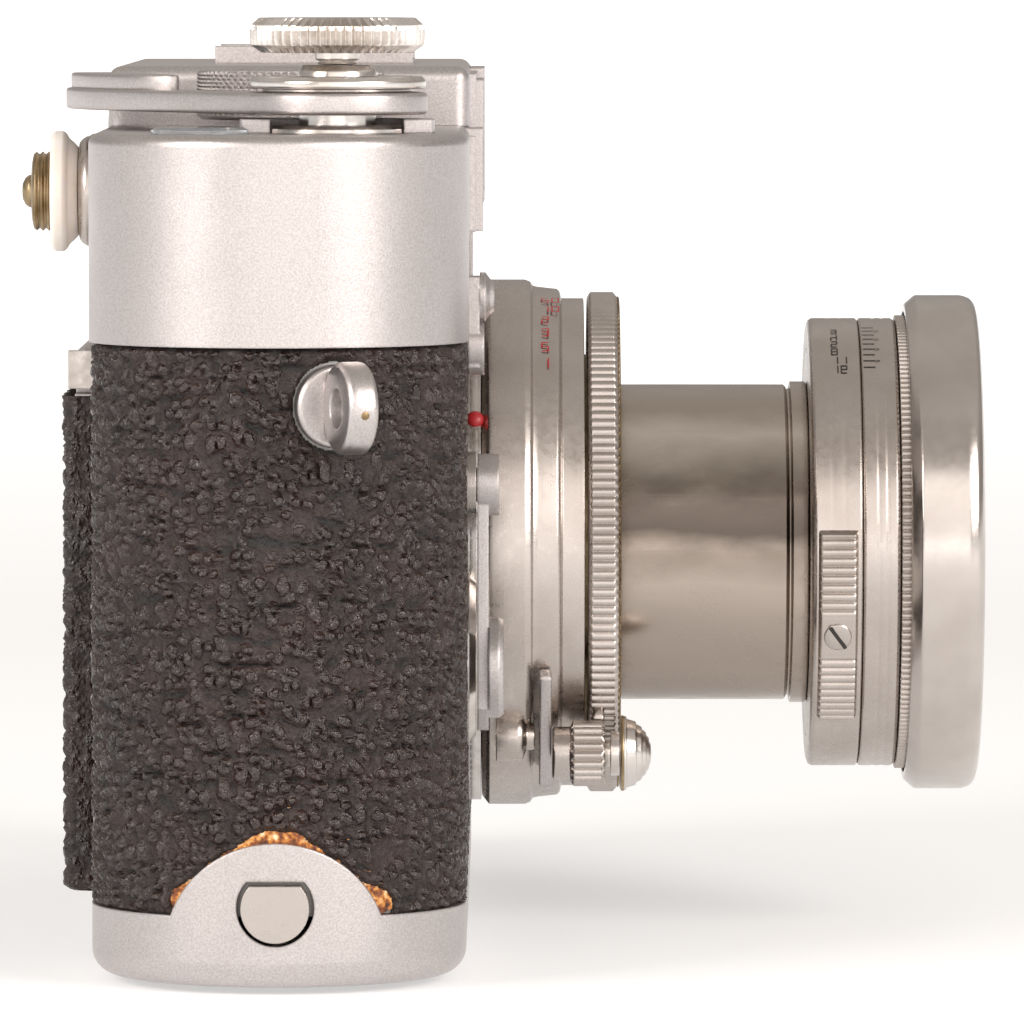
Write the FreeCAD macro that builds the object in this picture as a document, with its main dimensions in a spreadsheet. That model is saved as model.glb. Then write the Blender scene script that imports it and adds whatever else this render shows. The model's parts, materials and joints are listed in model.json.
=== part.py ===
"""Rangefinder camera with a collapsible lens, modelled as separate pieces.

Frame: +Z up, the lens faces -Y, the winding end is at -X. The origin is the centre of the
underside of the base plate. Lengths are millimetres. "Forward" means towards -Y.
"""
import FreeCAD, Part
import math
import os
import Sketcher

SIZES = {
    # body outline: a slot shape with round ends
    "end_centre": 53.0, "shell_radius": 15.2, "shell_inner": 14.0, "leather_inner": 15.25,
    "leather_radius": 16.0, "cover_radius": 16.3, "cover_inner": 15.0, "base_radius": 16.1,
    "base_inner": 15.3, "base_floor": 1.5, "base_edge": 2.2, "base_top": 6.1, "shell_bottom": 6.15,
    "leather_top": 54.25, "cover_bottom": 54.3, "cover_top": 72.2, "cover_roof": 1.0, "cover_edge": 1.0,
    # hump and window panel of the top cover
    "hump_near": -19.0, "hump_far": 47.0, "hump_top": 77.5, "hump_back": 15.9, "hump_front": 16.2,
    "panel_front": 16.8, "panel_bottom": 62.9, "recess_front": 15.65,
    # lens axis and mount
    "lens_x": -3.0, "lens_height": 34.2, "mount_radius": 23.4, "mount_front": 17.25, "mount_back": 16.05,
    "mount_bore": 19.0, "mount_boss": 22.2, "screw_circle": 21.2, "screw_head": 1.4, "screw_shank": 0.7,
    # lens barrel, helicoid and focusing ring
    "barrel_radius": 23.8, "barrel_neck": 22.9, "barrel_groove": 22.1, "barrel_sleeve": 18.92,
    "helicoid_radius": 17.0, "fit": 0.06, "tube_radius": 14.28, "tube_bore": 13.0,
    "focus_radius": 22.66, "focus_back": 26.8, "focus_front": 29.55,
    # lens head
    "collar_radius": 14.55, "head_radius": 20.3, "head_back": 46.7, "aperture_front": 51.25,
    "head_front": 54.6, "neck_radius": 19.4, "neck_front": 58.5, "sleeve_radius": 17.5,
    "bead_radius": 20.55, "cap_radius": 22.39, "cap_back": 55.5, "cap_front": 62.1, "cap_skirt": 20.9,
    "iris_hole": 5.0, "grip_droop": -20.5,
    # infinity lock
    "lock_circle": 26.1, "lock_angle": 43.7, "lock_radius": 2.75,
    # winding group
    "wind_x": -55.0, "wind_forward": 5.09, "hub_radius": 7.73, "lever_bottom": 73.8, "lever_top": 75.7,
    "collar_bottom": 76.0, "collar_top": 77.06, "disc_radius": 7.49, "disc_bottom": 79.07,
    "disc_top": 82.06, "button_radius": 3.42, "button_top": 78.04, "spindle_radius": 3.3,
    "counter_x": -60.5, "counter_back": 6.5,
    # shutter dial, rewind group
    "dial_x": -31.0, "dial_forward": 0.6, "dial_radius": 8.25, "dial_top": 77.4, "dial_bottom": 73.0,
    "rewind_x": 57.0, "rewind_radius": 7.4, "rewind_bottom": 73.2, "rewind_top": 76.95,
    # accessory shoe: heights above the hump
    "shoe_foot": 0.3, "shoe_wall": 1.2, "shoe_top": 1.6, "thumb_rest_top": 77.0,
    # back door
    "door_half": 39.0, "door_bottom": 5.7, "door_hinge": 51.65, "door_back": 18.7, "door_axis": 17.45,
    # base plate hook and key
    "stud_height": 6.95, "stud_radius": 2.9, "stud_flat": 8.86, "stud_tip": 70.3, "hook_radius": 9.5,
    "hook_height": 2.9, "hook_hole": 3.3, "hook_flat": 9.15, "key_x": 53.0, "key_radius": 8.0,
    "tripod_x": -53.0, "tripod_bore": 3.175,
    # strap lugs
    "lug_height": 49.35, "lug_angle": 19.2, "lug_disc": 3.55, "lug_ring": 3.92, "lug_hole": 1.7,
    "lug_thick": 2.6,
    # front controls
    "release_lever_x": -31.5, "release_lever_height": 52.9, "timer_x": -38.0, "timer_height": 41.2,
    "selector_x": 30.0, "selector_height": 45.0, "unlock_x": -28.7, "unlock_height": 25.3,
    # sync sockets and the plug-in adapter
    "sync_x": -24.0, "sync_height": 66.5, "sync_gap": 13.0,
}


class Size:
    """A length together with the sheet expression that it comes from."""

    def __init__(self, value, text):
        self.value = float(value)
        self.text = text

    def joined(self, sign, other, value):
        return Size(value, f"({self.text} {sign} {other.text})")

    def __add__(self, other):
        other = as_size(other)
        return self.joined("+", other, self.value + other.value)

    def __sub__(self, other):
        other = as_size(other)
        return self.joined("-", other, self.value - other.value)

    def __mul__(self, other):
        other = as_size(other)
        return self.joined("*", other, self.value * other.value)

    def __rsub__(self, other):
        return as_size(other) - self

    def __neg__(self):
        return Size(-self.value, f"(0 - {self.text})")

    __radd__ = __add__
    __rmul__ = __mul__


def as_size(number):
    return number if isinstance(number, Size) else Size(number, f"({number:.6g})")


def mm(alias):
    """The sheet cell with this alias, as a Size."""
    return Size(SIZES[alias], f"Sizes.{alias}")


doc = FreeCAD.newDocument("RangefinderCamera")
NODES = []
TURNS = {"Z": (0, 0, 1, 0), "-Z": (1, 0, 0, 180), "Y": (1, 0, 0, -90), "-Y": (1, 0, 0, 90),
         "X": (0, 1, 0, 90), "-X": (0, 1, 0, -90)}
LENS = (mm("lens_x"), 0, mm("lens_height"))
WIND = (mm("wind_x"), -mm("wind_forward"), 0)
COUNTER = (mm("counter_x"), mm("counter_back"), 0)
RELEASE_LEVER = (mm("release_lever_x"), 0, mm("release_lever_height"))
SELF_TIMER = (mm("timer_x"), 0, mm("timer_height"))
SELECTOR = (mm("selector_x"), 0, mm("selector_height"))
LENS_RELEASE = (mm("unlock_x"), 0, mm("unlock_height"))


def write_sheet():
    sheet = doc.addObject("Spreadsheet::Sheet", "Sizes")
    for row, (alias, value) in enumerate(SIZES.items(), 1):
        sheet.set(f"A{row}", alias)
        sheet.set(f"B{row}", str(value))
        sheet.setAlias(f"B{row}", alias)
    doc.recompute()


def bind(thing, **sizes):
    for name, size in sizes.items():
        size = as_size(size)
        thing.setExpression(name, size.text)


def place(thing, at=(0, 0, 0), axis="Z", spin=0):
    """Put the thing's own +Z along axis, at a bound position, after a spin about +Z."""
    x, y, z, angle = TURNS[axis]
    turn = FreeCAD.Rotation(FreeCAD.Vector(x, y, z), angle)
    turn = turn.multiply(FreeCAD.Rotation(FreeCAD.Vector(0, 0, 1), spin))
    thing.Placement = FreeCAD.Placement(FreeCAD.Vector(*(as_size(c).value for c in at)), turn)
    for letter, size in zip("xyz", at):
        thing.setExpression(f"Placement.Base.{letter}", as_size(size).text)
    return thing


def swung(thing, degrees, centre, direction):
    """Swing a placed primitive about a line and leave it there."""
    thing.setExpression("Placement.Base.x", None)
    thing.setExpression("Placement.Base.y", None)
    thing.setExpression("Placement.Base.z", None)
    middle = FreeCAD.Vector(*(as_size(c).value for c in centre))
    turn = FreeCAD.Rotation(FreeCAD.Vector(*direction), degrees)
    swing = FreeCAD.Placement(FreeCAD.Vector(), turn, middle)
    thing.Placement = swing.multiply(thing.Placement)
    return thing


def node(label, thing):
    """Register a finished thing as one of the model's sub-parts."""
    thing.Label = label
    NODES.append(thing)
    return thing


def cylinder(radius, low, high, at=(0, 0, 0), axis="Z", spin=0):
    """A round bar between two heights along its axis."""
    thing = doc.addObject("Part::Cylinder", "Round")
    low, high = as_size(low), as_size(high)
    bind(thing, Radius=radius, Height=high - low)
    reach = {"Z": (0, 0, 1), "-Z": (0, 0, -1), "Y": (0, 1, 0), "-Y": (0, -1, 0),
             "X": (1, 0, 0), "-X": (-1, 0, 0)}[axis]
    corner = [as_size(c) + low * step if step else c for c, step in zip(at, reach)]
    return place(thing, corner, axis, spin)


def block(low, high):
    """A box from its lowest corner to its highest."""
    thing = doc.addObject("Part::Box", "Block")
    low = [as_size(c) for c in low]
    high = [as_size(c) for c in high]
    bind(thing, Length=high[0] - low[0], Width=high[1] - low[1], Height=high[2] - low[2])
    return place(thing, low)


def cut(base, *tools):
    """The base with each tool taken away."""
    for tool in tools:
        thing = doc.addObject("Part::Cut", "Cut")
        thing.Base, thing.Tool = base, tool
        base = thing
    return base


def fuse(*things):
    thing = doc.addObject("Part::MultiFuse", "Fused")
    thing.Shapes = list(things)
    thing.Refine = True
    return thing


def common(one, other):
    thing = doc.addObject("Part::MultiCommon", "Shared")
    thing.Shapes = [one, other]
    return thing


def group(*things):
    """Separate solids that share one node."""
    thing = doc.addObject("Part::Compound", "Group")
    thing.Links = list(things)
    return thing


def origin_plane(body, role):
    return next(item for item in body.Origin.OriginFeatures if item.Role == role)


def new_sketch(body, role, height=0):
    sketch = body.newObject("Sketcher::SketchObject", "Outline")
    sketch.AttachmentSupport = [(origin_plane(body, role), "")]
    sketch.MapMode = "FlatFace"
    if as_size(height).value:
        sketch.AttachmentOffset = FreeCAD.Placement(FreeCAD.Vector(0, 0, as_size(height).value),
                                                    FreeCAD.Rotation())
        sketch.setExpression("AttachmentOffset.Base.z", as_size(height).text)
    return sketch


def pin_point(sketch, geometry, point, x, y):
    """Hold a sketch point at bound distances from the sketch's origin."""
    for kind, size, line in (("DistanceX", as_size(x), -2), ("DistanceY", as_size(y), -1)):
        if abs(size.value) < 1e-9:
            sketch.addConstraint(Sketcher.Constraint("PointOnObject", geometry, point, line))
        else:
            held = Sketcher.Constraint(kind, -1, 1, geometry, point, size.value)
            index = sketch.addConstraint(held)
            sketch.setExpression(f"Constraints[{index}]", size.text)


def polygon(sketch, points):
    """A closed outline of straight lines through the points."""
    corners = [FreeCAD.Vector(as_size(x).value, as_size(y).value, 0) for x, y in points]
    count = len(corners)
    lines = [Part.LineSegment(corners[i], corners[(i + 1) % count]) for i in range(count)]
    first = sketch.addGeometry(lines)[0]
    for i in range(count):
        sketch.addConstraint(Sketcher.Constraint("Coincident", first + i, 2, first + (i + 1) % count, 1))
    for i, (x, y) in enumerate(points):
        pin_point(sketch, first + i, 1, x, y)


def slot_outline(sketch, radius, half):
    """A slot outline: two half circles whose centres are at plus and minus half on the X axis."""
    r, c = as_size(radius).value, as_size(half).value
    up, right = FreeCAD.Vector(0, 0, 1), math.pi / 2
    far = Part.ArcOfCircle(Part.Circle(FreeCAD.Vector(c, 0, 0), up, r), -right, right)
    near = Part.ArcOfCircle(Part.Circle(FreeCAD.Vector(-c, 0, 0), up, r), right, 3 * right)
    top = Part.LineSegment(FreeCAD.Vector(c, r, 0), FreeCAD.Vector(-c, r, 0))
    bottom = Part.LineSegment(FreeCAD.Vector(-c, -r, 0), FreeCAD.Vector(c, -r, 0))
    sketch.addGeometry([far, top, near, bottom])
    for one, two in ((0, 1), (1, 2), (2, 3), (3, 0)):
        sketch.addConstraint(Sketcher.Constraint("Tangent", one, 2, two, 1))
    pin_point(sketch, 0, 3, half, 0)
    pin_point(sketch, 2, 3, -as_size(half), 0)
    index = sketch.addConstraint(Sketcher.Constraint("Radius", 0, r))
    sketch.setExpression(f"Constraints[{index}]", as_size(radius).text)


def pad(body, sketch, length):
    feature = body.newObject("PartDesign::Pad", "Pad")
    feature.Profile = sketch
    bind(feature, Length=length)
    return feature


def slot_prism(radius, low, high, half=mm("end_centre")):
    """A slot-shaped solid between two heights."""
    body = doc.addObject("PartDesign::Body", "Slot")
    sketch = new_sketch(body, "XY_Plane", low)
    slot_outline(sketch, radius, half)
    pad(body, sketch, as_size(high) - low)
    return body


def plate(points, low, high, at=(0, 0, 0), axis="Z", spin=0):
    """A flat piece with a straight-sided outline, between two heights along its axis."""
    body = doc.addObject("PartDesign::Body", "Plate")
    sketch = new_sketch(body, "XY_Plane", low)
    polygon(sketch, points)
    pad(body, sketch, as_size(high) - low)
    return place(body, at, axis, spin)


def turned(profile, at=(0, 0, 0), axis="Z"):
    """A piece turned on a lathe. The profile lists radius and height around its section."""
    body = doc.addObject("PartDesign::Body", "Turned")
    sketch = new_sketch(body, "XZ_Plane")
    polygon(sketch, profile)
    feature = body.newObject("PartDesign::Revolution", "Turn")
    feature.Profile = sketch
    feature.ReferenceAxis = (sketch, ["V_Axis"])
    feature.Angle = 360
    return place(body, at, axis)


def rounded(body, radius, chosen):
    """Fillet the edges of the body's tip that the chosen test picks."""
    doc.recompute()
    tip = body.Tip
    names = [f"Edge{i}" for i, edge in enumerate(tip.Shape.Edges, 1) if chosen(edge)]
    feature = body.newObject("PartDesign::Fillet", "Round")
    feature.Base = (tip, names)
    bind(feature, Radius=radius)
    return body


def edge_at_height(height):
    return lambda edge: all(abs(v.Z - height.value) < 1e-4 for v in edge.Vertexes)


# ---- body -------------------------------------------------------------------------------


def lens_ring(outer, inner, back, front):
    """A plain ring about the lens axis."""
    return turned([(inner, back), (outer, back), (outer, front), (inner, front)], LENS, "-Y")


def hook_stud_shape(inner, tip, radius, flat):
    """The hook stud's round bar with its flat top, from inner to tip along -X."""
    bar = cylinder(radius, inner, tip, (0, 0, mm("stud_height")), "-X")
    return cut(bar, block((-80, -10, flat), (-50, 10, mm("stud_height") + 10)))


def control_posts():
    """Radius and place of each control that passes through the front covering."""
    return [(1.2, RELEASE_LEVER), (2.9, SELF_TIMER), (3.1, SELECTOR), (3.1, LENS_RELEASE)]


def shell_pivots():
    """Radius and place of each control that also passes through the shell."""
    return [(1.2, RELEASE_LEVER), (3.1, LENS_RELEASE)]


def make_body_shell():
    wall = cut(slot_prism(mm("shell_radius"), mm("shell_bottom"), mm("cover_bottom")),
               slot_prism(mm("shell_inner"), mm("shell_bottom") - 1, mm("cover_bottom") + 1))
    throat = cylinder(mm("mount_bore"), 10, 20, LENS, "-Y")
    door = block((-37, 10, 9), (37, 20, 49.5))
    stud = hook_stud_shape(66.5, 75, mm("stud_radius"), mm("stud_flat"))
    pivots = [cylinder(radius + mm("fit"), 10, 20, at, "-Y") for radius, at in shell_pivots()]
    node("body_shell", cut(wall, throat, door, stud, *pivots))


def make_body_covering():
    skin = cut(slot_prism(mm("leather_radius"), mm("shell_bottom"), mm("leather_top")),
               slot_prism(mm("leather_inner"), mm("shell_bottom") - 1, mm("leather_top") + 1))
    throat = cylinder(mm("mount_boss") + 0.05, 10, 20, LENS, "-Y")
    above_throat = block((-25.5, -20, 50), (19.5, -10, 58))
    door = block((-mm("door_half") - 0.4, 10, 5), (mm("door_half") + 0.4, 20, 53.3))
    hook = cylinder(mm("hook_radius") + 0.8, 50, 75, (0, 0, mm("hook_height")), "-X")
    lugs = [lug_bar(mm("lug_disc") + 0.1, 14, 20, side) for side in (-1, 1)]
    controls = [cylinder(radius + mm("fit"), 10, 20, at, "-Y") for radius, at in control_posts()]
    node("body_covering", cut(skin, throat, above_throat, door, hook, *lugs, *controls))


def make_film_gate():
    frame = block((-37, 9, 8), (31, 10.4, 53))
    rails = block((-24, 10.4, 19), (18, 10.9, 49.4))
    window = block((mm("lens_x") - 18, 5, mm("lens_height") - 12),
                   (mm("lens_x") + 18, 15, mm("lens_height") + 12))
    node("film_gate", cut(fuse(frame, rails), window))


def make_lens_tunnel():
    outer = block((mm("lens_x") - 20, -12.8, 16.7), (mm("lens_x") + 20, 6.5, 51.7))
    inner = block((mm("lens_x") - 19, -14, 17.7), (mm("lens_x") + 19, 7, 50.7))
    node("lens_tunnel", cut(outer, inner))


def make_shutter():
    """The closed cloth curtain in front of the film, and the roller at each side of it."""
    curtain = block((-27, 7.4, 16.2), (21, 7.8, 52.2))
    rollers = [cylinder(2.6, 12, 53, (x, 5, 0)) for x in (-30, 24)]
    node("focal_plane_shutter", group(curtain, *rollers))


def make_mount():
    flange = lens_ring(mm("mount_radius"), mm("mount_bore"), mm("mount_back"), mm("mount_front"))
    boss = cut(lens_ring(mm("mount_boss"), mm("mount_bore"), mm("shell_radius"), mm("mount_back")),
               block((-40, -20, mm("leather_top")), (40, -10, 60)))
    holes, screws = [], []
    for quarter in range(4):
        angle = math.radians(45 + 90 * quarter)
        centre = (mm("lens_x") + mm("screw_circle") * math.cos(angle), 0,
                  mm("lens_height") + mm("screw_circle") * math.sin(angle))
        holes.append(cylinder(mm("screw_shank") + 0.03, 13, 20, centre, "-Y"))
        holes.append(cylinder(mm("screw_head") + 0.05, 16.45, 20, centre, "-Y"))
        screws.append(fuse(cylinder(mm("screw_shank"), 15.3, 16.6, centre, "-Y"),
                           cylinder(mm("screw_head"), 16.5, 17.15, centre, "-Y")))
    node("mount_ring", cut(fuse(flange, boss), *holes))
    node("mount_screws", group(*screws))


def lug_bar(radius, low, high, side):
    """A round bar along the outward normal of a round end, at a strap lug."""
    turn = math.radians(SIZES["lug_angle"])
    bar = cylinder(radius, low, high, (0, 0, mm("lug_height")), "X" if side > 0 else "-X")
    moved = swung(bar, math.degrees(turn) * -side, (0, 0, mm("lug_height")), (0, 0, 1))
    moved.Placement.Base += FreeCAD.Vector(side * SIZES["end_centre"], 0, 0)
    return moved


def make_strap_lugs():
    """Each lug is a dished seat with a coin-shaped ring standing across it."""
    lugs = []
    for side in (-1, 1):
        seat = lug_bar(mm("lug_disc"), mm("shell_radius") + 0.35, mm("leather_radius") + 0.4, side)
        neck = lug_bar(1.4, 15.5, 18, side)
        turn = math.radians(SIZES["lug_angle"])
        centre = (side * (SIZES["end_centre"] + 19.7 * math.cos(turn)), -19.7 * math.sin(turn),
                  SIZES["lug_height"])
        across = math.degrees(-side * turn)
        coin, hole = [swung(cylinder(radius, -half, half, centre, "Y"), across, centre, (0, 0, 1))
                      for radius, half in ((mm("lug_ring"), mm("lug_thick") * 0.5), (mm("lug_hole"), 3))]
        lugs.append(cut(fuse(seat, neck, coin), hole))
    node("strap_lugs", group(*lugs))


def make_base_stud():
    node("base_stud", hook_stud_shape(66.5, mm("stud_tip"), mm("stud_radius"), mm("stud_flat")))


# ---- top cover --------------------------------------------------------------------------

WINDOWS = {"rangefinder": (-20, 3.6, 67.5, 3.7), "illumination": (8, 7, 70.6, 4.6),
           "viewfinder": (33, 8.5, 70.6, 5.4)}


def make_top_cover():
    body = doc.addObject("PartDesign::Body", "Cover")
    sketch = new_sketch(body, "XY_Plane", mm("cover_bottom"))
    slot_outline(sketch, mm("cover_radius"), mm("end_centre"))
    pad(body, sketch, mm("cover_top") - mm("cover_bottom"))
    rounded(body, mm("cover_edge"), edge_at_height(mm("cover_top")))
    near, far, back, front = mm("hump_near"), mm("hump_far"), mm("hump_back"), mm("hump_front")
    sketch = new_sketch(body, "XY_Plane", mm("cover_top") - 2)
    polygon(sketch, [(near, -front), (far, -front), (far, back), (near, back)])
    pad(body, sketch, mm("hump_top") - mm("cover_top") + 2)
    rounded(body, 1.2, lambda edge: edge.BoundBox.ZMax > SIZES["hump_top"] - 0.01
            and edge.BoundBox.ZMin > SIZES["cover_top"] - 1)
    panels = [block((-26, -mm("panel_front"), mm("panel_bottom")), (44, -15.5, 71.4)),
              block((-2, -mm("panel_front"), 71.4), (44, -15.9, 76.6))]
    outer = fuse(body, *panels)
    hollow = fuse(slot_prism(mm("cover_inner"), mm("cover_bottom") - 1, mm("cover_top") - mm("cover_roof")),
                  block((near + 1, -14.9, 70), (far - 1, 14.7, mm("hump_top") - 1)))
    recess = block((-44, -20, 50), (36, -mm("recess_front"), mm("panel_bottom")))
    openings = [block((x - half - 0.9, -20, z - tall - 0.9), (x + half + 0.9, -13, z + tall + 0.9))
                for x, half, z, tall in WINDOWS.values()]
    holes = [cylinder(mm("spindle_radius") + 0.05, 60, 80, WIND),
             cylinder(2.1, 60, 80, (mm("dial_x"), -mm("dial_forward"), 0)),
             cylinder(2.9, 60, 80, (mm("rewind_x"), 0, 0)),
             cylinder(3.65, 60, 80, COUNTER),
             cylinder(4.05, 10, 20, (38, 0, 69), "Y")]
    holes += [cylinder(3.0, 10, 20, (x, 0, mm("sync_height")), "Y") for x in sync_places()]
    node("top_cover", cut(outer, hollow, recess, *openings, *holes))


def make_windows():
    bezels, panes = [], []
    for x, half, z, tall in WINDOWS.values():
        frame = block((x - half - 0.85, -17.45, z - tall - 0.85), (x + half + 0.85, -15.0, z + tall + 0.85))
        bezels.append(cut(frame, block((x - half, -20, z - tall), (x + half, -10, z + tall))))
        panes.append(block((x - half, -16.4, z - tall), (x + half, -15.4, z + tall)))
    panes.append(cylinder(2.75, 15.6, 16.6, (38, 0, 69), "Y"))
    eyepiece = [(2.8, 15.1), (4.0, 15.1), (4.0, 16.35), (4.9, 16.35), (4.9, 17.4), (4.3, 18.0), (2.8, 18.0)]
    node("window_bezels", group(*bezels, turned(eyepiece, (38, 0, 69), "Y")))
    node("window_glasses", group(*panes))


def make_finder_block():
    """The prism housing of the combined rangefinder and viewfinder."""
    housing = fuse(block((-25, -12.5, 63), (44, 12, 71)), block((-17.5, -12.5, 71), (44, 12, 76)))
    node("finder_block", cut(housing, block((-26, -8, 60), (18, 13, 72.5))))


def make_accessory_shoe():
    """A low slide shoe open to the back, with its rails bent over the foot of an accessory."""
    low = mm("hump_top")
    foot_top, wall_top = low + mm("shoe_foot"), low + mm("shoe_wall")
    foot = block((2, -11.0, low), (23, 7.0, foot_top))
    walls = [block((x, -11.0, foot_top), (x + 1, 7.0, wall_top)) for x in (2, 22)]
    lips = [block((x, -11.0, wall_top), (x + 2.4, 7.0, low + mm("shoe_top"))) for x in (2, 20.6)]
    node("accessory_shoe", fuse(foot, *walls, *lips))


def sync_places():
    return (mm("sync_x"), mm("sync_x") + mm("sync_gap"))


def make_sync_sockets():
    collar = [(1.52, 14.8), (2.95, 14.8), (2.95, 16.32), (4.87, 16.32), (4.87, 17.9), (4.5, 18.25),
              (1.52, 18.25)]
    node("sync_sockets", group(*[turned(collar, (x, 0, mm("sync_height")), "Y") for x in sync_places()]))


def make_winding_base():
    """The dark stop plate, cut away at the end of the camera, and the flanged lever spindle."""
    under = mm("cover_top")
    stop_plate = cut(cylinder(8.35, under + 0.02, under + 1.2, WIND), cylinder(6.05, 70, 80, WIND),
                     block((-70, -20, 70), (-57, 20, 80)))
    node("lever_stop_plate", stop_plate)
    radius, top = mm("spindle_radius"), mm("lever_top") - 0.9
    node("lever_spindle", turned([(2.0, 62), (radius, 62), (radius, under + 0.02), (5.95, under + 0.02),
                                  (5.95, under + 0.35), (5.6, under + 0.65), (radius, under + 0.65),
                                  (radius, top), (2.0, top)], WIND))
    node("counter_window", turned([(0, under - 0.8), (3.6, under - 0.8), (3.6, under + 0.02),
                                   (4.2, under + 0.02), (4.2, under + 0.35), (3.7, under + 0.6),
                                   (0, under + 0.6)], COUNTER))


# ---- winding, shutter and rewind controls ------------------------------------------------


def lever_outline():
    """Corners of the lever's arm, a crank that passes behind the shutter dial."""
    return [(0.5, 7.5), (-3.6, 6.6), (-7.0, 0.5), (0, -7.0), (5.8, 4.6), (8.5, 8.6), (15.5, 13.6),
            (22, 15.6), (29, 16.4), (34.6, 18.0), (35.4, 21.2), (34.6, 24.7), (29.5, 24.5), (22.5, 22.3),
            (12.5, 17.2), (6.0, 12.8)]


def make_lever():
    low, high = mm("lever_bottom"), mm("lever_top")
    hub = cylinder(mm("hub_radius"), low, high, WIND)
    arm = plate(lever_outline(), low, high, WIND)
    rest = plate([(12.6, 13.2), (17, 14.6), (24, 15.9), (29, 16.4), (34.6, 18.0), (35.4, 21.2), (34.6, 24.7),
                  (29.5, 24.5), (22.5, 22.3), (15, 18.4)], high, mm("thumb_rest_top"), WIND)
    bore = cylinder(mm("spindle_radius") + mm("fit"), 70, 75.1, WIND)
    well = cylinder(3.7, 75.0, 80, WIND)
    node("advance_lever", cut(fuse(hub, arm, rest), bore, well))
    bottom, top = mm("collar_bottom"), mm("collar_top")
    node("lever_collar", turned([(3.65, high + 0.01), (6.4, high + 0.01), (6.4, bottom), (7.6, bottom),
                                 (7.6, bottom + 0.8), (7.3, top), (3.65, top)], WIND))


def make_release():
    top = mm("button_top")
    flange = mm("button_radius")
    node("release_button", turned([(0, 61), (1.9, 61), (1.9, top - 1.04), (flange, top - 1.04),
                                   (3.2, top - 0.14), (3.0, top), (0, top)], WIND))
    low, high, rim = mm("disc_bottom"), mm("disc_top"), mm("disc_radius")
    node("soft_release", turned([(0, top + 0.02), (1.65, top + 0.02), (1.9, top + 0.3), (1.9, low),
                                 (rim - 0.9, low), (rim, low + 0.6), (rim, high - 0.6), (rim - 0.8, high),
                                 (5.6, high), (3.6, high - 0.5), (0, high - 0.7)], WIND))


def make_dial():
    at = (mm("dial_x"), -mm("dial_forward"), 0)
    low, high, rim = mm("dial_bottom"), mm("dial_top"), mm("dial_radius")
    node("shutter_dial", turned([(0, 64), (2.0, 64), (2.0, low), (7.9, low), (rim, low + 0.4),
                                 (rim, high - 0.5), (7.8, high), (0, high)], at))


def make_rewind():
    at = (mm("rewind_x"), 0, 0)
    node("rewind_sleeve", turned([(1.35, 56), (2.8, 56), (2.8, 72.6), (1.35, 72.6)], at))
    low, high, rim = mm("rewind_bottom"), mm("rewind_top"), mm("rewind_radius")
    node("rewind_knob", turned([(0, low), (5.9, low), (rim, low + 0.7), (rim, high - 0.75), (6.6, high),
                                (0, high)], at))
    shaft = cylinder(1.3, 46, low, at)
    blade = block((mm("rewind_x") - 2.6, -0.6, 42), (mm("rewind_x") + 2.6, 0.6, 46))
    node("rewind_fork", fuse(shaft, blade))


def make_transport():
    spool_at = (-45.5, 2.5, 0)
    node("take_up_spool", turned([(0, 9), (8.2, 9), (8.2, 10), (5.8, 10), (5.8, 46), (8.2, 46), (8.2, 47),
                                  (2.0, 47), (2.0, 53), (0, 53)], spool_at))
    hub = turned([(0, 14), (4.9, 14), (4.9, 20), (3.6, 20), (3.6, 47), (4.9, 47), (4.9, 53), (0, 53)],
                 (-35.5, -7.5, 0))
    teeth = []
    for tooth in range(8):
        for low in (15.5, 49.5):
            pin = block((-30.7, -7.9, low), (-30.1, -7.1, low + 1.3))
            teeth.append(swung(pin, 45 * tooth, (-35.5, -7.5, 0), (0, 0, 1)))
    node("film_sprocket", fuse(hub, *teeth))
    node("counter_disc", turned([(0, 68.0), (3.9, 68.0), (3.9, 68.6), (0.8, 68.6), (0.8, 71.3), (0, 71.3)],
                                COUNTER))


# ---- back door ---------------------------------------------------------------------------


def make_back_door():
    half, hinge, axis = mm("door_half"), mm("door_hinge"), mm("door_axis")
    panel = block((-half, 16.2, mm("door_bottom")), (half, 18.1, hinge))
    barrel = cylinder(1.25, -36.3, 36.3, (0, axis, hinge), "X")
    corners = [block((-45, 10, hinge - 2.5), (-36.3, 30, 60)), block((36.3, 10, hinge - 2.5), (45, 30, 60))]
    bore = cylinder(0.55, -50, 50, (0, axis, hinge), "X")
    node("back_door", cut(fuse(cut(panel, *corners), barrel), bore))
    skin = block((-half, 18.1, mm("door_bottom")), (half, mm("door_back"), 48.9))
    dial_seat = cylinder(8.3, 10, 30, (0, 0, 30), "Y")
    node("back_door_covering", cut(skin, dial_seat))
    stem = cylinder(3, 12.2, 16.2, (mm("lens_x"), 0, mm("lens_height")), "Y")
    node("pressure_plate", fuse(block((-22, 11.3, 19), (16, 12.2, 49)), stem))
    node("film_reminder_dial", turned([(0, 18.12), (8.0, 18.12), (8.0, 18.8), (7.6, 19.0), (0, 19.0)],
                                      (0, 0, 30), "Y"))
    pin = cylinder(0.5, -38.4, 38.4, (0, axis, hinge), "X")
    ears = [block((low, mm("shell_radius"), 49.6), (low + 1.6, mm("door_back"), 52.9))
            for low in (-38.4, 36.8)]
    node("door_hinge", fuse(pin, *ears))


# ---- base plate --------------------------------------------------------------------------


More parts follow.
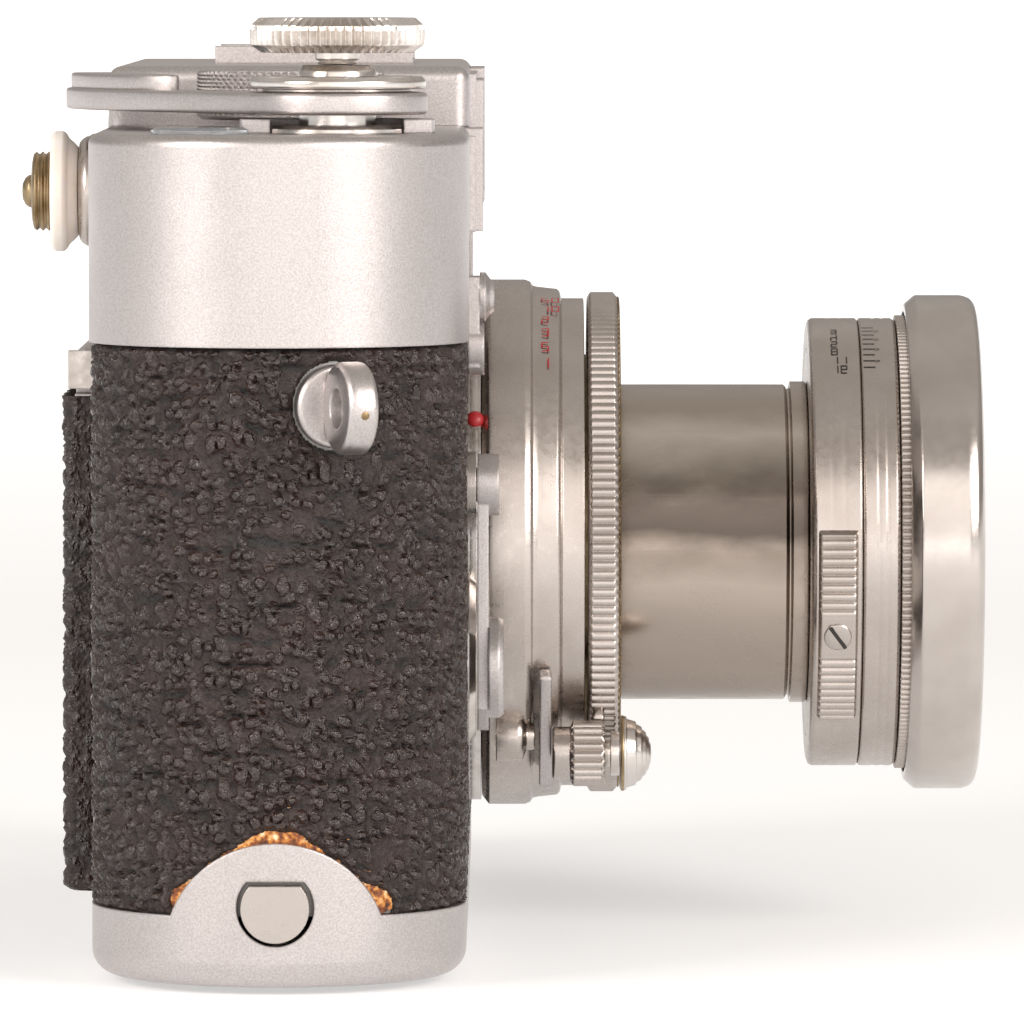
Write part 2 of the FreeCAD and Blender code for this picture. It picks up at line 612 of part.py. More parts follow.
def make_base_plate():
    body = doc.addObject("PartDesign::Body", "Base")
    sketch = new_sketch(body, "XY_Plane")
    slot_outline(sketch, mm("base_radius"), mm("end_centre"))
    pad(body, sketch, mm("base_top"))
    rounded(body, mm("base_edge"), edge_at_height(mm("base_top") * 0))
    hollow = slot_prism(mm("base_inner"), mm("base_floor"), 20)
    tab_wall = cut(slot_prism(mm("base_radius"), 5, 14), slot_prism(mm("base_inner"), 4, 15))
    tab = common(tab_wall, cylinder(mm("hook_radius"), 50, 75, (0, 0, mm("hook_height")), "-X"))
    hole = hook_stud_shape(50, 75, mm("hook_hole"), mm("hook_flat"))
    key_well = cylinder(mm("key_radius") + 0.1, -1, 1.0, (mm("key_x"), 0, 0))
    key_bore = cylinder(1.56, -1, 10, (mm("key_x"), 0, 0))
    bush_seat = cylinder(5.0, -1, 10, (mm("tripod_x"), 0, 0))
    node("base_plate", cut(fuse(cut(body, hollow), tab), hole, key_well, key_bore, bush_seat))
    node("tripod_bush", turned([(mm("tripod_bore"), 0.05), (5.0, 0.05), (5.0, 1.5), (6.6, 1.5), (6.6, 5.4),
                                (mm("tripod_bore"), 5.4)], (mm("tripod_x"), 0, 0)))


def make_base_key():
    at = (mm("key_x"), 0, 0)
    disc = cylinder(mm("key_radius"), 0.1, 0.95, at)
    groove = cut(cylinder(7.2, -1, 2, at), cylinder(5.0, -1, 2, at))
    groove = cut(groove, block((mm("key_x") + 0.9, -10, -2), (mm("key_x") + 20, 10, 3)))
    shaft = cylinder(1.5, 0.95, 4.6, at)
    cam = block((mm("key_x") - 1.5, -2.0, 3.2), (mm("key_x") + 8.0, 2.0, 4.6))
    pivot_hole = cylinder(0.36, -7.8, 7.8, (mm("key_x"), 0, 0.5), "Y")
    node("base_key", fuse(cut(disc, groove, pivot_hole), shaft, cam))
    bow = cut(cylinder(7.0, 0.12, 0.9, at), cylinder(5.3, -1, 2, at),
              block((mm("key_x"), -10, -2), (mm("key_x") + 20, 10, 3)))
    pivots = [cylinder(0.3, low, low + 2.2, (mm("key_x"), 0, 0.5), "Y") for low in (-7.7, 5.5)]
    node("key_bail", fuse(bow, *pivots))


# ---- front controls ----------------------------------------------------------------------


def make_front_controls():
    arm = block((RELEASE_LEVER[0] - 2.0, -17.2, 51.2), (RELEASE_LEVER[0] + 2.0, -16.15, 59.2))
    grip = turned([(0, 17.2), (2.15, 17.2), (2.15, 17.7), (1.6, 18.1), (1.3, 18.5), (0, 18.5)],
                  (RELEASE_LEVER[0], 0, 57.4), "-Y")
    hub = cylinder(2.4, 16.15, 17.6, RELEASE_LEVER, "-Y")
    pivot = cylinder(1.2, 13.4, 16.15, RELEASE_LEVER, "-Y")
    node("rewind_release_lever", fuse(arm, grip, hub, pivot))
    arm = plate([(-2.1, 0), (-2.6, -19.5), (-1.6, -21.4), (1.6, -21.4), (2.6, -19.5), (2.1, 0)], 17.0, 18.0,
                SELF_TIMER, "-Y")
    boss = cylinder(2.7, 17.0, 18.9, SELF_TIMER, "-Y")
    knob = turned([(0, 18.0), (4.4, 18.0), (4.4, 18.9), (4.1, 19.3), (0, 19.3)],
                  (SELF_TIMER[0], 0, SELF_TIMER[2] - 16.0), "-Y")
    bore = cylinder(1.5 + SIZES["fit"], 10, 18.5, SELF_TIMER, "-Y")
    node("self_timer_lever", cut(fuse(arm, boss, knob), bore))
    node("self_timer_post", turned([(0, 15.2), (2.9, 15.2), (2.9, 16.9), (1.5, 16.9), (1.5, 18.4),
                                    (0, 18.4)], SELF_TIMER, "-Y"))
    blade = plate([(-1.7, 0), (-2.4, -11), (0, -13.5), (2.4, -11), (1.7, 0)], 17.0, 18.0, SELECTOR, "-Y")
    node("frame_selector", fuse(blade, cylinder(3.1, 15.25, 18.6, SELECTOR, "-Y")))


def make_lens_release():
    guard = turned([(3.4, 16.02), (7.3, 16.02), (7.3, 16.3), (6.7, 16.85), (3.4, 16.85)],
                   LENS_RELEASE, "-Y")
    node("lens_release_guard", cut(guard, cylinder(mm("mount_radius") + 0.05, 10, 20, LENS, "-Y")))
    node("lens_release_button", turned([(0, 13.5), (1.5, 13.5), (1.5, 15.4), (3.1, 15.4), (3.1, 16.5),
                                        (2.7, 16.9), (0, 16.9)], LENS_RELEASE, "-Y"))


# ---- lens --------------------------------------------------------------------------------


def make_lens_barrel():
    inner = mm("helicoid_radius") + mm("fit")
    outer, neck, groove = mm("barrel_radius"), mm("barrel_neck"), mm("barrel_groove")
    barrel = turned([(inner, 13), (mm("barrel_sleeve"), 13), (mm("barrel_sleeve"), 17.29), (23.1, 17.29),
                     (23.1, 17.6), (outer - 0.3, 17.6), (outer, 17.9), (outer, 21.3), (neck + 0.3, 21.9),
                     (neck, 24.2), (groove, 24.6), (groove, 26.5), (inner, 26.5)], LENS, "-Y")
    post_profile = [(0, 19.5), (2.2, 19.5), (2.2, 21.6), (1.2, 22.1), (0, 22.1)]
    angle = math.radians(SIZES["lock_angle"] - 1)
    post_at = (mm("lens_x") - 24.2 * math.sin(angle), 0, mm("lens_height") - 24.2 * math.cos(angle))
    node("lens_barrel", fuse(barrel, turned(post_profile, post_at, "-Y")))


def make_focusing():
    bore, radius = mm("tube_radius") + mm("fit"), mm("helicoid_radius")
    node("helicoid", turned([(bore, 14), (radius, 14), (radius, 29.4), (bore, 29.4)], LENS, "-Y"))
    focus = mm("focus_radius")
    node("focus_ring", turned([(radius + mm("fit"), mm("focus_back")), (focus - 0.5, mm("focus_back")),
                               (focus, 27.2), (focus, 29.15), (focus - 0.4, mm("focus_front")),
                               (radius + mm("fit"), mm("focus_front"))], LENS, "-Y"))


def lock_at():
    angle = math.radians(SIZES["lock_angle"])
    return (mm("lens_x") - mm("lock_circle") * math.sin(angle), 0,
            mm("lens_height") - mm("lock_circle") * math.cos(angle))


def make_infinity_lock():
    """A block on the focusing ring carries the sprung button, its roller and the latch plate."""
    at = lock_at()
    angle = SIZES["lock_angle"]
    neck = swung(block((mm("lens_x") - 2.2, -29.5, mm("lens_height") - 26.0),
                       (mm("lens_x") + 2.2, -27.0, mm("lens_height") - 22.3)),
                 angle, LENS, (0, 1, 0))
    ring_bore = cylinder(mm("focus_radius") + 0.01, 20, 40, LENS, "-Y")
    rim = mm("lock_radius")
    housing = turned([(0, 22.4), (rim, 22.4), (rim, 23.7), (rim - 0.3, 23.7), (rim - 0.3, 24.0),
                      (rim, 24.0), (rim, 29.6), (1.25, 29.6), (1.25, 24.6), (0, 24.6)], at, "-Y")
    node("infinity_lock_block", fuse(cut(neck, ring_bore, cylinder(1.3, 20, 40, at, "-Y")), housing))
    node("infinity_lock_button", turned([(0, 26.0), (1.19, 26.0), (1.19, 31.0), (2.9, 31.0), (2.9, 31.5),
                                         (2.4, 32.3), (1.5, 33.0), (0, 33.4)], at, "-Y"))


def make_tube():
    tube, bore = mm("tube_radius"), mm("tube_bore")
    collar = mm("collar_radius")
    node("collapsible_tube", turned([(bore, 22), (tube, 22), (tube, 44.8), (13.9, 44.8), (13.9, 45.1),
                                     (collar, 45.1), (collar, 46.65), (13.45, 46.65), (13.45, 49.9),
                                     (bore - 0.5, 49.9), (bore - 0.5, 46), (bore, 45.5)], LENS, "-Y"))
    head, neck, sleeve = mm("head_radius"), mm("neck_radius"), mm("sleeve_radius")
    node("lens_head", turned([(13.5, mm("head_back")), (sleeve, mm("head_back")),
                              (sleeve, mm("aperture_front") + 0.05), (head, mm("aperture_front") + 0.05),
                              (head, mm("head_front")), (neck, mm("head_front")), (neck, mm("neck_front")),
                              (14.8, mm("neck_front")), (14.8, 53.5), (12.2, 53.5), (12.2, 50), (13.5, 50)],
                             LENS, "-Y"))
    node("front_bead_ring", lens_ring(mm("bead_radius"), neck + 0.02, mm("head_front") + 0.02, 56.0))
    node("iris_leaves", lens_ring(12.15, mm("iris_hole"), 51.4, 51.7))
    front = turned([(0, 54.0), (14.7, 54.0), (14.7, 56.2), (10.5, 57.2), (5.5, 57.8), (0, 58.0)],
                   LENS, "-Y")
    rear = turned([(0, 40.2), (5, 40.0), (10.5, 39.3), (10.5, 43.0), (0, 43.0)], LENS, "-Y")
    node("lens_elements", group(front, rear))
    node("rear_lens_cell", lens_ring(12.45, 10.55, 39.0, 49.5))


def make_aperture_ring():
    bore, rim = mm("sleeve_radius") + mm("fit"), mm("head_radius")
    back, front = mm("head_back"), mm("aperture_front")
    node("aperture_ring", turned([(bore, back), (rim - 0.4, back), (rim, back + 0.4), (rim, front),
                                  (bore, front)], LENS, "-Y"))
    band = lens_ring(rim + 0.75, rim + 0.01, 47.3, 50.8)
    droop = mm("grip_droop").value
    grips, screws = [], []
    for side in (-1, 1):
        window = block((mm("lens_x") + min(side * 30, 0), -52, mm("lens_height") - 9.6),
                       (mm("lens_x") + max(side * 30, 0), -46, mm("lens_height") + 9.6))
        tilt = swung(window, droop, LENS, (0, 1, 0))
        hole_at = (0, -49.0, mm("lens_height") - 1.3)
        axis = "X" if side > 0 else "-X"
        bar = []
        for radius, low, high in ((1.35, 20.8, 26), (1.3, 20.82, 21.2)):
            rod = cylinder(radius, low, high, hole_at, axis)
            rod.setExpression("Placement.Base.x", (mm("lens_x") + side * low).text)
            rod.Placement.Base.x = SIZES["lens_x"] + side * low
            bar.append(swung(rod, droop, LENS, (0, 1, 0)))
        grips.append(cut(common(band, tilt), bar[0]))
        screws.append(bar[1])
    node("aperture_grips", group(*grips, *screws))


def make_lens_cap():
    outer, skirt = mm("cap_radius"), mm("cap_skirt")
    back, front = mm("cap_back"), mm("cap_front")
    node("lens_cap", turned([(skirt, back), (outer - 0.8, back), (outer, back + 0.9), (outer, front - 1.4),
                             (outer - 0.5, front - 0.5), (outer - 1.6, front), (0, front), (0, front - 1.2),
                             (skirt, front - 1.2)], LENS, "-Y"))


def make_sync_adapter():
    """The plug-in terminal: an ivory flange, a threaded brass terminal and its centre contact."""
    at = (mm("sync_x"), 0, mm("sync_height"))
    node("adapter_flange", turned([(0, 16.4), (1.45, 16.4), (1.45, 18.3), (3.99, 18.3), (4.6, 19.1),
                                   (5.1, 19.3), (5.32, 19.6), (5.32, 20.4), (5.0, 20.73), (0, 20.73)],
                                  at, "Y"))
    rib = [(1.5, 20.75), (3.3, 20.75)]
    for ridge in range(3):
        low = 20.85 + 0.55 * ridge
        rib += [(3.55, low + 0.1), (3.55, low + 0.3), (3.25, low + 0.42)]
    rib += [(3.3, 22.5), (1.5, 22.5)]
    contact = [(0, 20.75), (1.45, 20.75), (1.45, 22.8), (1.0, 23.2), (0, 23.35)]
    node("adapter_terminal", group(turned(rib, at, "Y"), turned(contact, at, "Y")))


# ---- build, check and write -------------------------------------------------------------


def check_document():
    """Stop on any failed object, and on any sub-part whose shape is null or not valid."""
    for thing in doc.Objects:
        if "Invalid" in thing.State or "Error" in thing.State:
            raise RuntimeError(f"{thing.Name} ({thing.Label}) failed: {thing.State}")
    for thing in NODES:
        if thing.Shape.isNull() or not thing.Shape.isValid() or not thing.Shape.Solids:
            raise RuntimeError(f"sub-part {thing.Label} has no valid solid")


def write_steps():
    os.makedirs("parts", exist_ok=True)
    for thing in NODES:
        thing.Shape.exportStep(f"parts/{thing.Label}.step")


write_sheet()
for make in (make_body_shell, make_body_covering, make_film_gate, make_lens_tunnel, make_shutter,
             make_mount, make_strap_lugs, make_base_stud, make_top_cover, make_windows, make_finder_block,
             make_accessory_shoe, make_sync_sockets, make_winding_base, make_lever, make_release, make_dial,
             make_rewind, make_transport, make_back_door, make_base_plate, make_base_key,
             make_front_controls, make_lens_release, make_lens_barrel, make_focusing, make_infinity_lock,
             make_tube, make_aperture_ring, make_lens_cap, make_sync_adapter):
    make()
doc.recompute()
check_document()
write_steps()
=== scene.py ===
"""Chrome rangefinder camera with a collapsible lens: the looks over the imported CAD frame.

Sizes are millimetres, times MM where Blender takes metres. Only the floor, the lights and the
eye at the end are written in metres. The lens faces -Y, the winding end is at -X. "Forward"
is the distance in front of the camera's mid plane.
"""
import json
from math import cos, pi, radians, sin

import bmesh
import bpy
import numpy as np
from mathutils import Matrix, Vector


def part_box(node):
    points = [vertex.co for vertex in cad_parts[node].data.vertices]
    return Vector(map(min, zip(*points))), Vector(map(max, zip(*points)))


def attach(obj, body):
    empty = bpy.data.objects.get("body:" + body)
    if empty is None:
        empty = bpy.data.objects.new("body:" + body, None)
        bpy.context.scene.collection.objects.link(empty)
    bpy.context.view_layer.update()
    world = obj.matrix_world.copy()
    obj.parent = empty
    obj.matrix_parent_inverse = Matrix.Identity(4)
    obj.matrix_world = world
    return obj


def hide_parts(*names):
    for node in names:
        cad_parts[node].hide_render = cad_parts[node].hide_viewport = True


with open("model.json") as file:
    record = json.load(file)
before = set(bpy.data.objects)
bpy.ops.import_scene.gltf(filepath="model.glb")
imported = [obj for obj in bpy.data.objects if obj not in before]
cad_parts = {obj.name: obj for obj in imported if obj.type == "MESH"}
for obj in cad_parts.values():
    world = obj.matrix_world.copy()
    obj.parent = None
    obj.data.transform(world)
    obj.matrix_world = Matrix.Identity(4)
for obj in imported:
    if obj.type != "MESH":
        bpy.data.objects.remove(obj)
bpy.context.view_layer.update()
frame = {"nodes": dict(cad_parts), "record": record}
MM = 0.001


def middle(node):
    """Centre of a CAD node's box, in millimetres."""
    low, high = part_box(node)
    return (np.array(low) + np.array(high)) / 2 / MM


def top_of(node):
    """Height of a CAD node's top, in millimetres."""
    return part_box(node)[1][2] / MM


# Axes of the lens, top controls and flash adapter, and the middle of the infinity catch.
TUBE = middle("collapsible_tube")
LENS = np.array([TUBE[0], 0.0, TUBE[2]])
HUB = middle("soft_release") * [1, 1, 0]
DIAL = middle("shutter_dial") * [1, 1, 0]
REWIND = middle("rewind_knob") * [1, 1, 0]
ADAPTER = middle("adapter_flange") * [1, 0, 1]
CATCH = LENS + [-19.05, 0, -17.77]

# The body's outline is a slot: its round ends' radius and centres, then lengths along it.
LEATHER = 16.0
END_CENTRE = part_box("body_covering")[1][0] / MM - LEATHER
QUARTER = LEATHER * pi / 2
HALF_WAY = 2 * QUARTER + 2 * END_CENTRE

# The covering's skirt lies at this depth in the outline, and its lumps rise by the relief.
SKIRT, RELIEF = 15.3, 0.82
LUG_TURN, LUG_HEIGHT, LUG_HOLE = radians(19.2), 49.35, 3.75
HOOK_HEIGHT, HOOK_HOLE = 2.9, 9.66
# Across and up from the middle of the front, where a control goes through the covering.
PIVOTS = {"self_timer_post": (middle("self_timer_post")[0], 41.2, 3.0),
          "rewind_release_lever": (middle("rewind_release_lever")[0], 52.9, 1.3),
          "frame_selector": (30.0, 45.0, 3.2),
          "lens_release_button": (middle("lens_release_button")[0], 25.3, 3.2)}

# ---- colours and materials --------------------------------------------------------------


def colour(code):
    """sRGB hex to linear RGBA."""
    part = np.array([int(code[i:i + 2], 16) for i in (0, 2, 4)]) / 255
    linear = np.where(part <= 0.04045, part / 12.92, ((part + 0.055) / 1.055) ** 2.4)
    return (*linear, 1.0)


class Tree:
    """The nodes of a material or of the world, with one method that adds a node."""

    def __init__(self, owner):
        owner.use_nodes = True
        self.nodes, self.link = owner.node_tree.nodes, owner.node_tree.links.new

    def add(self, kind, output, *values, settings=None, stops=(), **links):
        """Add a node and give back one of its outputs.

        Values and links are numbers or other nodes' outputs: values fill the sockets in their
        order, links go by socket name or, after an i, by number. Stops are a colour ramp's
        positions and hex colours.
        """
        node = self.nodes.new("ShaderNode" + kind)
        for name, value in (settings or {}).items():
            setattr(node, name, value)
        if stops:
            ramp = node.color_ramp.elements
            for _ in stops[2:]:
                ramp.new(0.5)
            for stop, (position, code) in zip(ramp, stops):
                stop.position, stop.color = position, colour(code)
        given = list(zip(node.inputs, values))
        for name, value in links.items():
            place = int(name[1:]) if name[1:].isdigit() else name.replace("_", " ")
            given.append((node.inputs[place], value))
        for socket, value in given:
            if isinstance(value, bpy.types.NodeSocket):
                self.link(value, socket)
            else:
                socket.default_value = value
        return node.outputs[output]


class Finish(Tree):
    """A material: its shader's base values, and where a point is in object coordinates."""

    def __init__(self, name, base, roughness, metallic=0.0, ior=1.45):
        self.material = bpy.data.materials.new(name)
        super().__init__(self.material)
        self.shader = self.nodes["Principled BSDF"]
        self.shader.inputs["Base Color"].default_value = colour(base)
        self.shader.inputs["Roughness"].default_value = roughness
        self.shader.inputs["Metallic"].default_value = metallic
        if not metallic:
            self.shader.inputs["IOR"].default_value = ior
        self.place = self.add("TexCoord", "Object")

    def wear(self, **outputs):
        """Link outputs to the shader's sockets, by socket name."""
        for name, output in outputs.items():
            self.link(output, self.shader.inputs[name.replace("_", " ")])


def layered(name, base, roughness, metallic=0.0, ior=1.5, skin=(), depth_mm=0.0, edge_mm=0.0,
            tint=(), stops=(), gloss=(), spread=()):
    """A finish of up to three noise patterns: a skin that stands up, a tint and a gloss.

    A pattern is its lumps' size in mm, its detail and, if drawn out, a stretch per axis. Stops
    colour the tint, spread maps the gloss to a roughness, edge_mm is how far edges look round.
    """
    finish = Finish(name, base, roughness, metallic, ior)
    fields = {}
    for use, pattern in (("skin", skin), ("tint", tint), ("gloss", gloss)):
        if pattern:
            size_mm, detail, *stretch = pattern
            scale = [1 / (MM * size_mm * share) for share in stretch or (1, 1, 1)]
            spot = finish.add("Mapping", "Vector", finish.place, Scale=scale)
            fields[use] = finish.add("TexNoise", "Fac", spot, Scale=1.0, Detail=detail)
    if tint:
        finish.wear(Base_Color=finish.add("ValToRGB", "Color", fields["tint"], stops=stops))
    if gloss:
        finish.wear(Roughness=finish.add("MapRange", "Result", fields["gloss"], *spread))
    if skin:
        links = {"Height": fields["skin"], "Distance": depth_mm * MM, "Strength": 1.0}
        if edge_mm:
            links["Normal"] = finish.add("Bevel", "Normal", edge_mm * MM, settings={"samples": 4})
        finish.wear(Normal=finish.add("Bump", "Normal", **links))
    return finish


def satin_chrome():
    """Brass that was bead blasted and chromed: a fine even grain that spreads highlights."""
    return layered("satin_chrome", "D6CFCC", 0.36, 1.0, skin=(0.16, 2.0), depth_mm=0.012, edge_mm=0.25,
                   tint=(0.16, 2.0), stops=((0.36, "B9B2B0"), (0.5, "C3BDBB"), (0.64, "CBC6C4")),
                   gloss=(9.0, 3.0), spread=(0.3, 0.7, 0.33, 0.43)).material


def polished_chrome():
    """Plated and buffed: near-mirror, with hairlines and a warm tint in the wear."""
    return layered("polished_chrome", "DAD5D1", 0.14, 1.0, skin=(0.2, 3.0, 1, 1, 8), depth_mm=0.004,
                   edge_mm=0.12, tint=(3.0, 4.0), stops=((0.3, "C9C1B8"), (0.6, "DFDAD6")),
                   gloss=(2.5, 4.0), spread=(0.3, 0.7, 0.17, 0.28)).material


def turned_steel():
    """Bare steel with rings left by the lathe and small dull spots."""
    return layered("turned_steel", "B9B2AC", 0.28, 1.0, skin=(0.15, 2.0, 6, 1, 1), depth_mm=0.006,
                   edge_mm=0.1, gloss=(1.2, 4.0), spread=(0.3, 0.7, 0.2, 0.42)).material


def lathed_chrome(name="lathed_chrome", light="C4BCB6", dark="B4ABA4", low=0.24, high=0.34):
    """Chromed brass turned about the lens axis: fine rings across it, smoky wear and grime."""
    return layered(name, light, 0.28, 1.0, skin=(0.09, 2.0, 400, 1, 400), depth_mm=0.005, edge_mm=0.12,
                   tint=(6.0, 5.0), stops=((0.3, dark), (0.7, light)),
                   gloss=(0.7, 4.0), spread=(0.3, 0.7, low, high)).material


def tube_painted_reflections():
    """The sliding tube: polished, with painted reflections: level bands of dark and bright colour by height
    stand in for the studio mirrored in it.
    """
    finish = layered("tube_painted_reflections", "A89C92", 0.22, 1.0, skin=(0.12, 2.0, 1, 60, 1), depth_mm=0.003,
                     gloss=(1.8, 4.0, 1, 2, 1), spread=(0.35, 0.7, 0.16, 0.32))
    # Painted reflections: a noise makes the edges of the reflection bands wander.
    patch = 3.4 * MM
    spot = finish.add("Mapping", "Vector", finish.place, Scale=(1 / patch, 0.5 / patch, 1 / patch))
    drift = finish.add("TexNoise", "Fac", spot, Scale=1.0, Detail=5.0)
    wander = finish.add("MapRange", "Result", drift, 0.3, 0.7, -0.6 * MM, 0.6 * MM)
    level = finish.add("SeparateXYZ", "Z", finish.place)
    bent = finish.add("Math", 0, level, wander, settings={"operation": "ADD"})
    painted_reflection_band = finish.add("MapRange", "Result", bent, 20 * MM, 48 * MM, 0.0, 1.0)
    # Painted reflections: dark and bright colour stops by height, where the tube would mirror the studio.
    finish.wear(Base_Color=finish.add("ValToRGB", "Color", painted_reflection_band, stops=(
        (0.0, "A3978D"), (0.4, "B4A89E"), (0.5, "92877D"), (0.57, "5F5750"), (0.65, "6A615A"),
        (0.73, "8C8278"), (0.87, "D2C8BE"), (0.95, "AFA49A"))))
    return finish.material


def pebbled_leather():
    """Vulcanised covering: brown-black lumps that shine on top, dull in the creases, with painted shade:
    near-black colour in the creases and low places.
    """
    finish = layered("pebbled_leather", "1E1715", 0.42, skin=(0.5, 3.0), depth_mm=0.4)
    height = finish.add("Attribute", "Fac", settings={"attribute_name": "lump"})
    cloud = finish.add("TexNoise", "Fac", finish.place, Scale=1 / (4.0 * MM), Detail=3.0)
    tint = finish.add("ValToRGB", "Color", cloud, stops=((0.35, "1B0F0C"), (0.65, "2C1A14")))
    # Painted shade: where the lumps' height is low, the colour goes to near-black.
    crease = finish.add("MapRange", "Result", height, 0.02, 0.3, 0.0, 1.0)
    finish.shader.inputs["Specular IOR Level"].default_value = 0.65
    finish.wear(Base_Color=finish.add("Mix", 2, settings={"data_type": "RGBA"}, Factor=crease,
                                      i6=colour("030202"), i7=tint),
                Roughness=finish.add("MapRange", "Result", height, 0.3, 0.7, 0.68, 0.17))
    return finish.material


def black_enamel():
    """Stoved matt black on the inner metal."""
    return layered("black_enamel", "1B1A1A", 0.55, skin=(0.3, 4.0), depth_mm=0.01, edge_mm=0.1).material


def cast_alloy():
    """Die-cast aluminium alloy, bare, with a slight orange-peel skin."""
    return layered("cast_alloy", "8E8C8A", 0.5, 1.0, skin=(0.6, 4.0), depth_mm=0.02).material


def ivory_plastic():
    """Moulded urea plastic, milky: light goes a little way in before it comes back."""
    finish = layered("ivory_plastic", "F4ECE3", 0.38, skin=(0.8, 4.0), depth_mm=0.01,
                     tint=(3.0, 4.0), stops=((0.3, "EFE4DA"), (0.7, "FAF3EC")))
    finish.shader.inputs["Subsurface Weight"].default_value = 0.5
    finish.shader.inputs["Subsurface Radius"].default_value = (2 * MM, 1.6 * MM, 1 * MM)
    return finish.material


def aged_brass():
    """Nickelled brass worn through to a brown-gold with dark grooves."""
    return layered("aged_brass", "9C8763", 0.34, 1.0, skin=(0.3, 4.0), depth_mm=0.01, edge_mm=0.05,
                   tint=(2.2, 4.0), stops=((0.3, "7E6A4C"), (0.7, "B5A283"))).material


def coated_glass():
    """Optical crown glass with a faint blue coating."""
    finish = layered("coated_glass", "DDE2E6", 0.03, ior=1.52, gloss=(2.0, 4.0),
                     spread=(0.0, 1.0, 0.01, 0.05))
    finish.shader.inputs["Transmission Weight"].default_value = 0.85
    return finish.material


def paint(name, code, roughness):
    """Enamel wiped into an engraving or a bead."""
    return layered(name, code, roughness, skin=(0.2, 4.0), depth_mm=0.01).material


def glue_residue():
    """Old contact glue and rust where the covering has shrunk back."""
    return layered("glue_residue", "B06A2A", 0.5, skin=(0.7, 5.0), depth_mm=0.2, tint=(0.7, 5.0), stops=(
        (0.34, "3A1D10"), (0.47, "8A4A1E"), (0.56, "D08A3A"), (0.68, "EBD9B4"))).material


SATIN, POLISHED, STEEL = satin_chrome(), polished_chrome(), turned_steel()
LATHED, TUBE_METAL, COVERING = lathed_chrome(), tube_painted_reflections(), pebbled_leather()
CAP_METAL = lathed_chrome("cap_chrome", "CDC6C0", "BEB6B0", 0.17, 0.24)
ENAMEL, ALLOY, IVORY, BRASS = black_enamel(), cast_alloy(), ivory_plastic(), aged_brass()
GLASS, GLUE = coated_glass(), glue_residue()
RED, INK = paint("red_enamel", "A8262A", 0.35), paint("engraving_ink", "2A2624", 0.6)
SLOT_FINISH = {"satin_chrome": SATIN, "bright_chrome": POLISHED, "lens_chrome": LATHED,
               "tube_chrome": TUBE_METAL, "steel": STEEL, "black_leather": COVERING,
               "black_metal": ENAMEL, "cast_alloy": ALLOY, "ivory_plastic": IVORY, "brass": BRASS,
               "glass": GLASS}


def dress_cad_nodes():
    """Every CAD node gets the finish of its material slot."""
    for part in frame["record"]["subparts"]:
        thing = frame["nodes"][part["node"]]
        thing.data.materials.clear()
        thing.data.materials.append(SLOT_FINISH[part["material_slot"]])


# ---- surfaces ---------------------------------------------------------------------------


def finished(name, mesh, material, body, nodes=(), angle=32):
    """Close doubles, turn faces outwards, shade smooth up to an angle and attach the piece."""
    work = bmesh.new()
    work.from_mesh(mesh)
    bmesh.ops.remove_doubles(work, verts=work.verts, dist=1e-7)
    bmesh.ops.recalc_face_normals(work, faces=work.faces)
    work.to_mesh(mesh)
    work.free()
    mesh.polygons.foreach_set("use_smooth", np.ones(len(mesh.polygons), bool))
    mesh.set_sharp_from_angle(angle=radians(angle))
    mesh.materials.append(material)
    thing = bpy.data.objects.new(name, mesh)
    bpy.context.scene.collection.objects.link(thing)
    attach(thing, body)
    if nodes:
        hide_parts(*nodes)
    return thing


def grid_mesh(name, points, wrap=True, keep=None):
    """Quads over a grid of points (rows, columns, 3) in mm, with columns wrapped round."""
    rows, columns = points.shape[:2]
    index = np.arange(rows * columns).reshape(rows, columns)
    turned = np.roll(index, -1, axis=1) if wrap else index[:, 1:]
    here = index if wrap else index[:, :-1]
    quads = np.stack([here[:-1], turned[:-1], turned[1:], here[1:]], axis=-1)
    quads = quads[keep] if keep is not None else quads.reshape(-1, 4)
    mesh = bpy.data.meshes.new(name)
    mesh.from_pydata((points.reshape(-1, 3) * MM).tolist(), [], quads.tolist())
    return mesh


def soften(corners, radius, steps=3):
    """A profile whose corners are cut back by radius and bridged by quadratic arcs.

    Corners on the axis stay as they are.
    """
    points = [np.array(c, float) for c in corners]
    out = [points[0]]
    for before, corner, after in zip(points, points[1:], points[2:]):
        if corner[0] == 0:
            out.append(corner)
            continue
        reach = min(radius, 0.45 * np.linalg.norm(before - corner), 0.45 * np.linalg.norm(after - corner))
        start = corner + reach * (before - corner) / np.linalg.norm(before - corner)
        end = corner + reach * (after - corner) / np.linalg.norm(after - corner)
        for share in np.linspace(0, 1, steps + 1):
            out.append((1 - share) ** 2 * start + 2 * share * (1 - share) * corner + share ** 2 * end)
    return np.array(out + [points[-1]])


AXES = {"Z": np.eye(3), "-Y": np.array(Matrix.Rotation(pi / 2, 3, "X")),
        "Y": np.array(Matrix.Rotation(-pi / 2, 3, "X"))}


def turned_to(axis, side):
    """A rotation whose third column is an axis and whose second is a direction square to it."""
    return np.stack([np.cross(side, axis), side, axis], axis=1)


def lathe_points(profile, centre, axis, relief=None, segments=192):
    """Each (radius, height) of the profile swept round the axis. Relief changes the radius."""
    angle = np.linspace(0, 2 * pi, segments, endpoint=False)[None, :]
    radius = np.repeat(profile[:, :1], segments, axis=1)
    height = np.repeat(profile[:, 1:], segments, axis=1)
    if relief:
        radius = relief(radius, height, angle)
    local = np.stack([radius * np.cos(angle), radius * np.sin(angle), height], axis=-1)
    turn = AXES[axis] if isinstance(axis, str) else axis
    return local @ turn.T + np.asarray(centre, float)


def lathe(name, profile, centre, axis, material, body, nodes=(), round_mm=0.12, relief=None,
          segments=192):
    """A piece turned on a lathe, from its profile of (radius, height) corners in mm."""
    points = lathe_points(soften(profile, round_mm), centre, axis, relief, segments)
    return finished(name, grid_mesh(name, points), material, body, nodes)


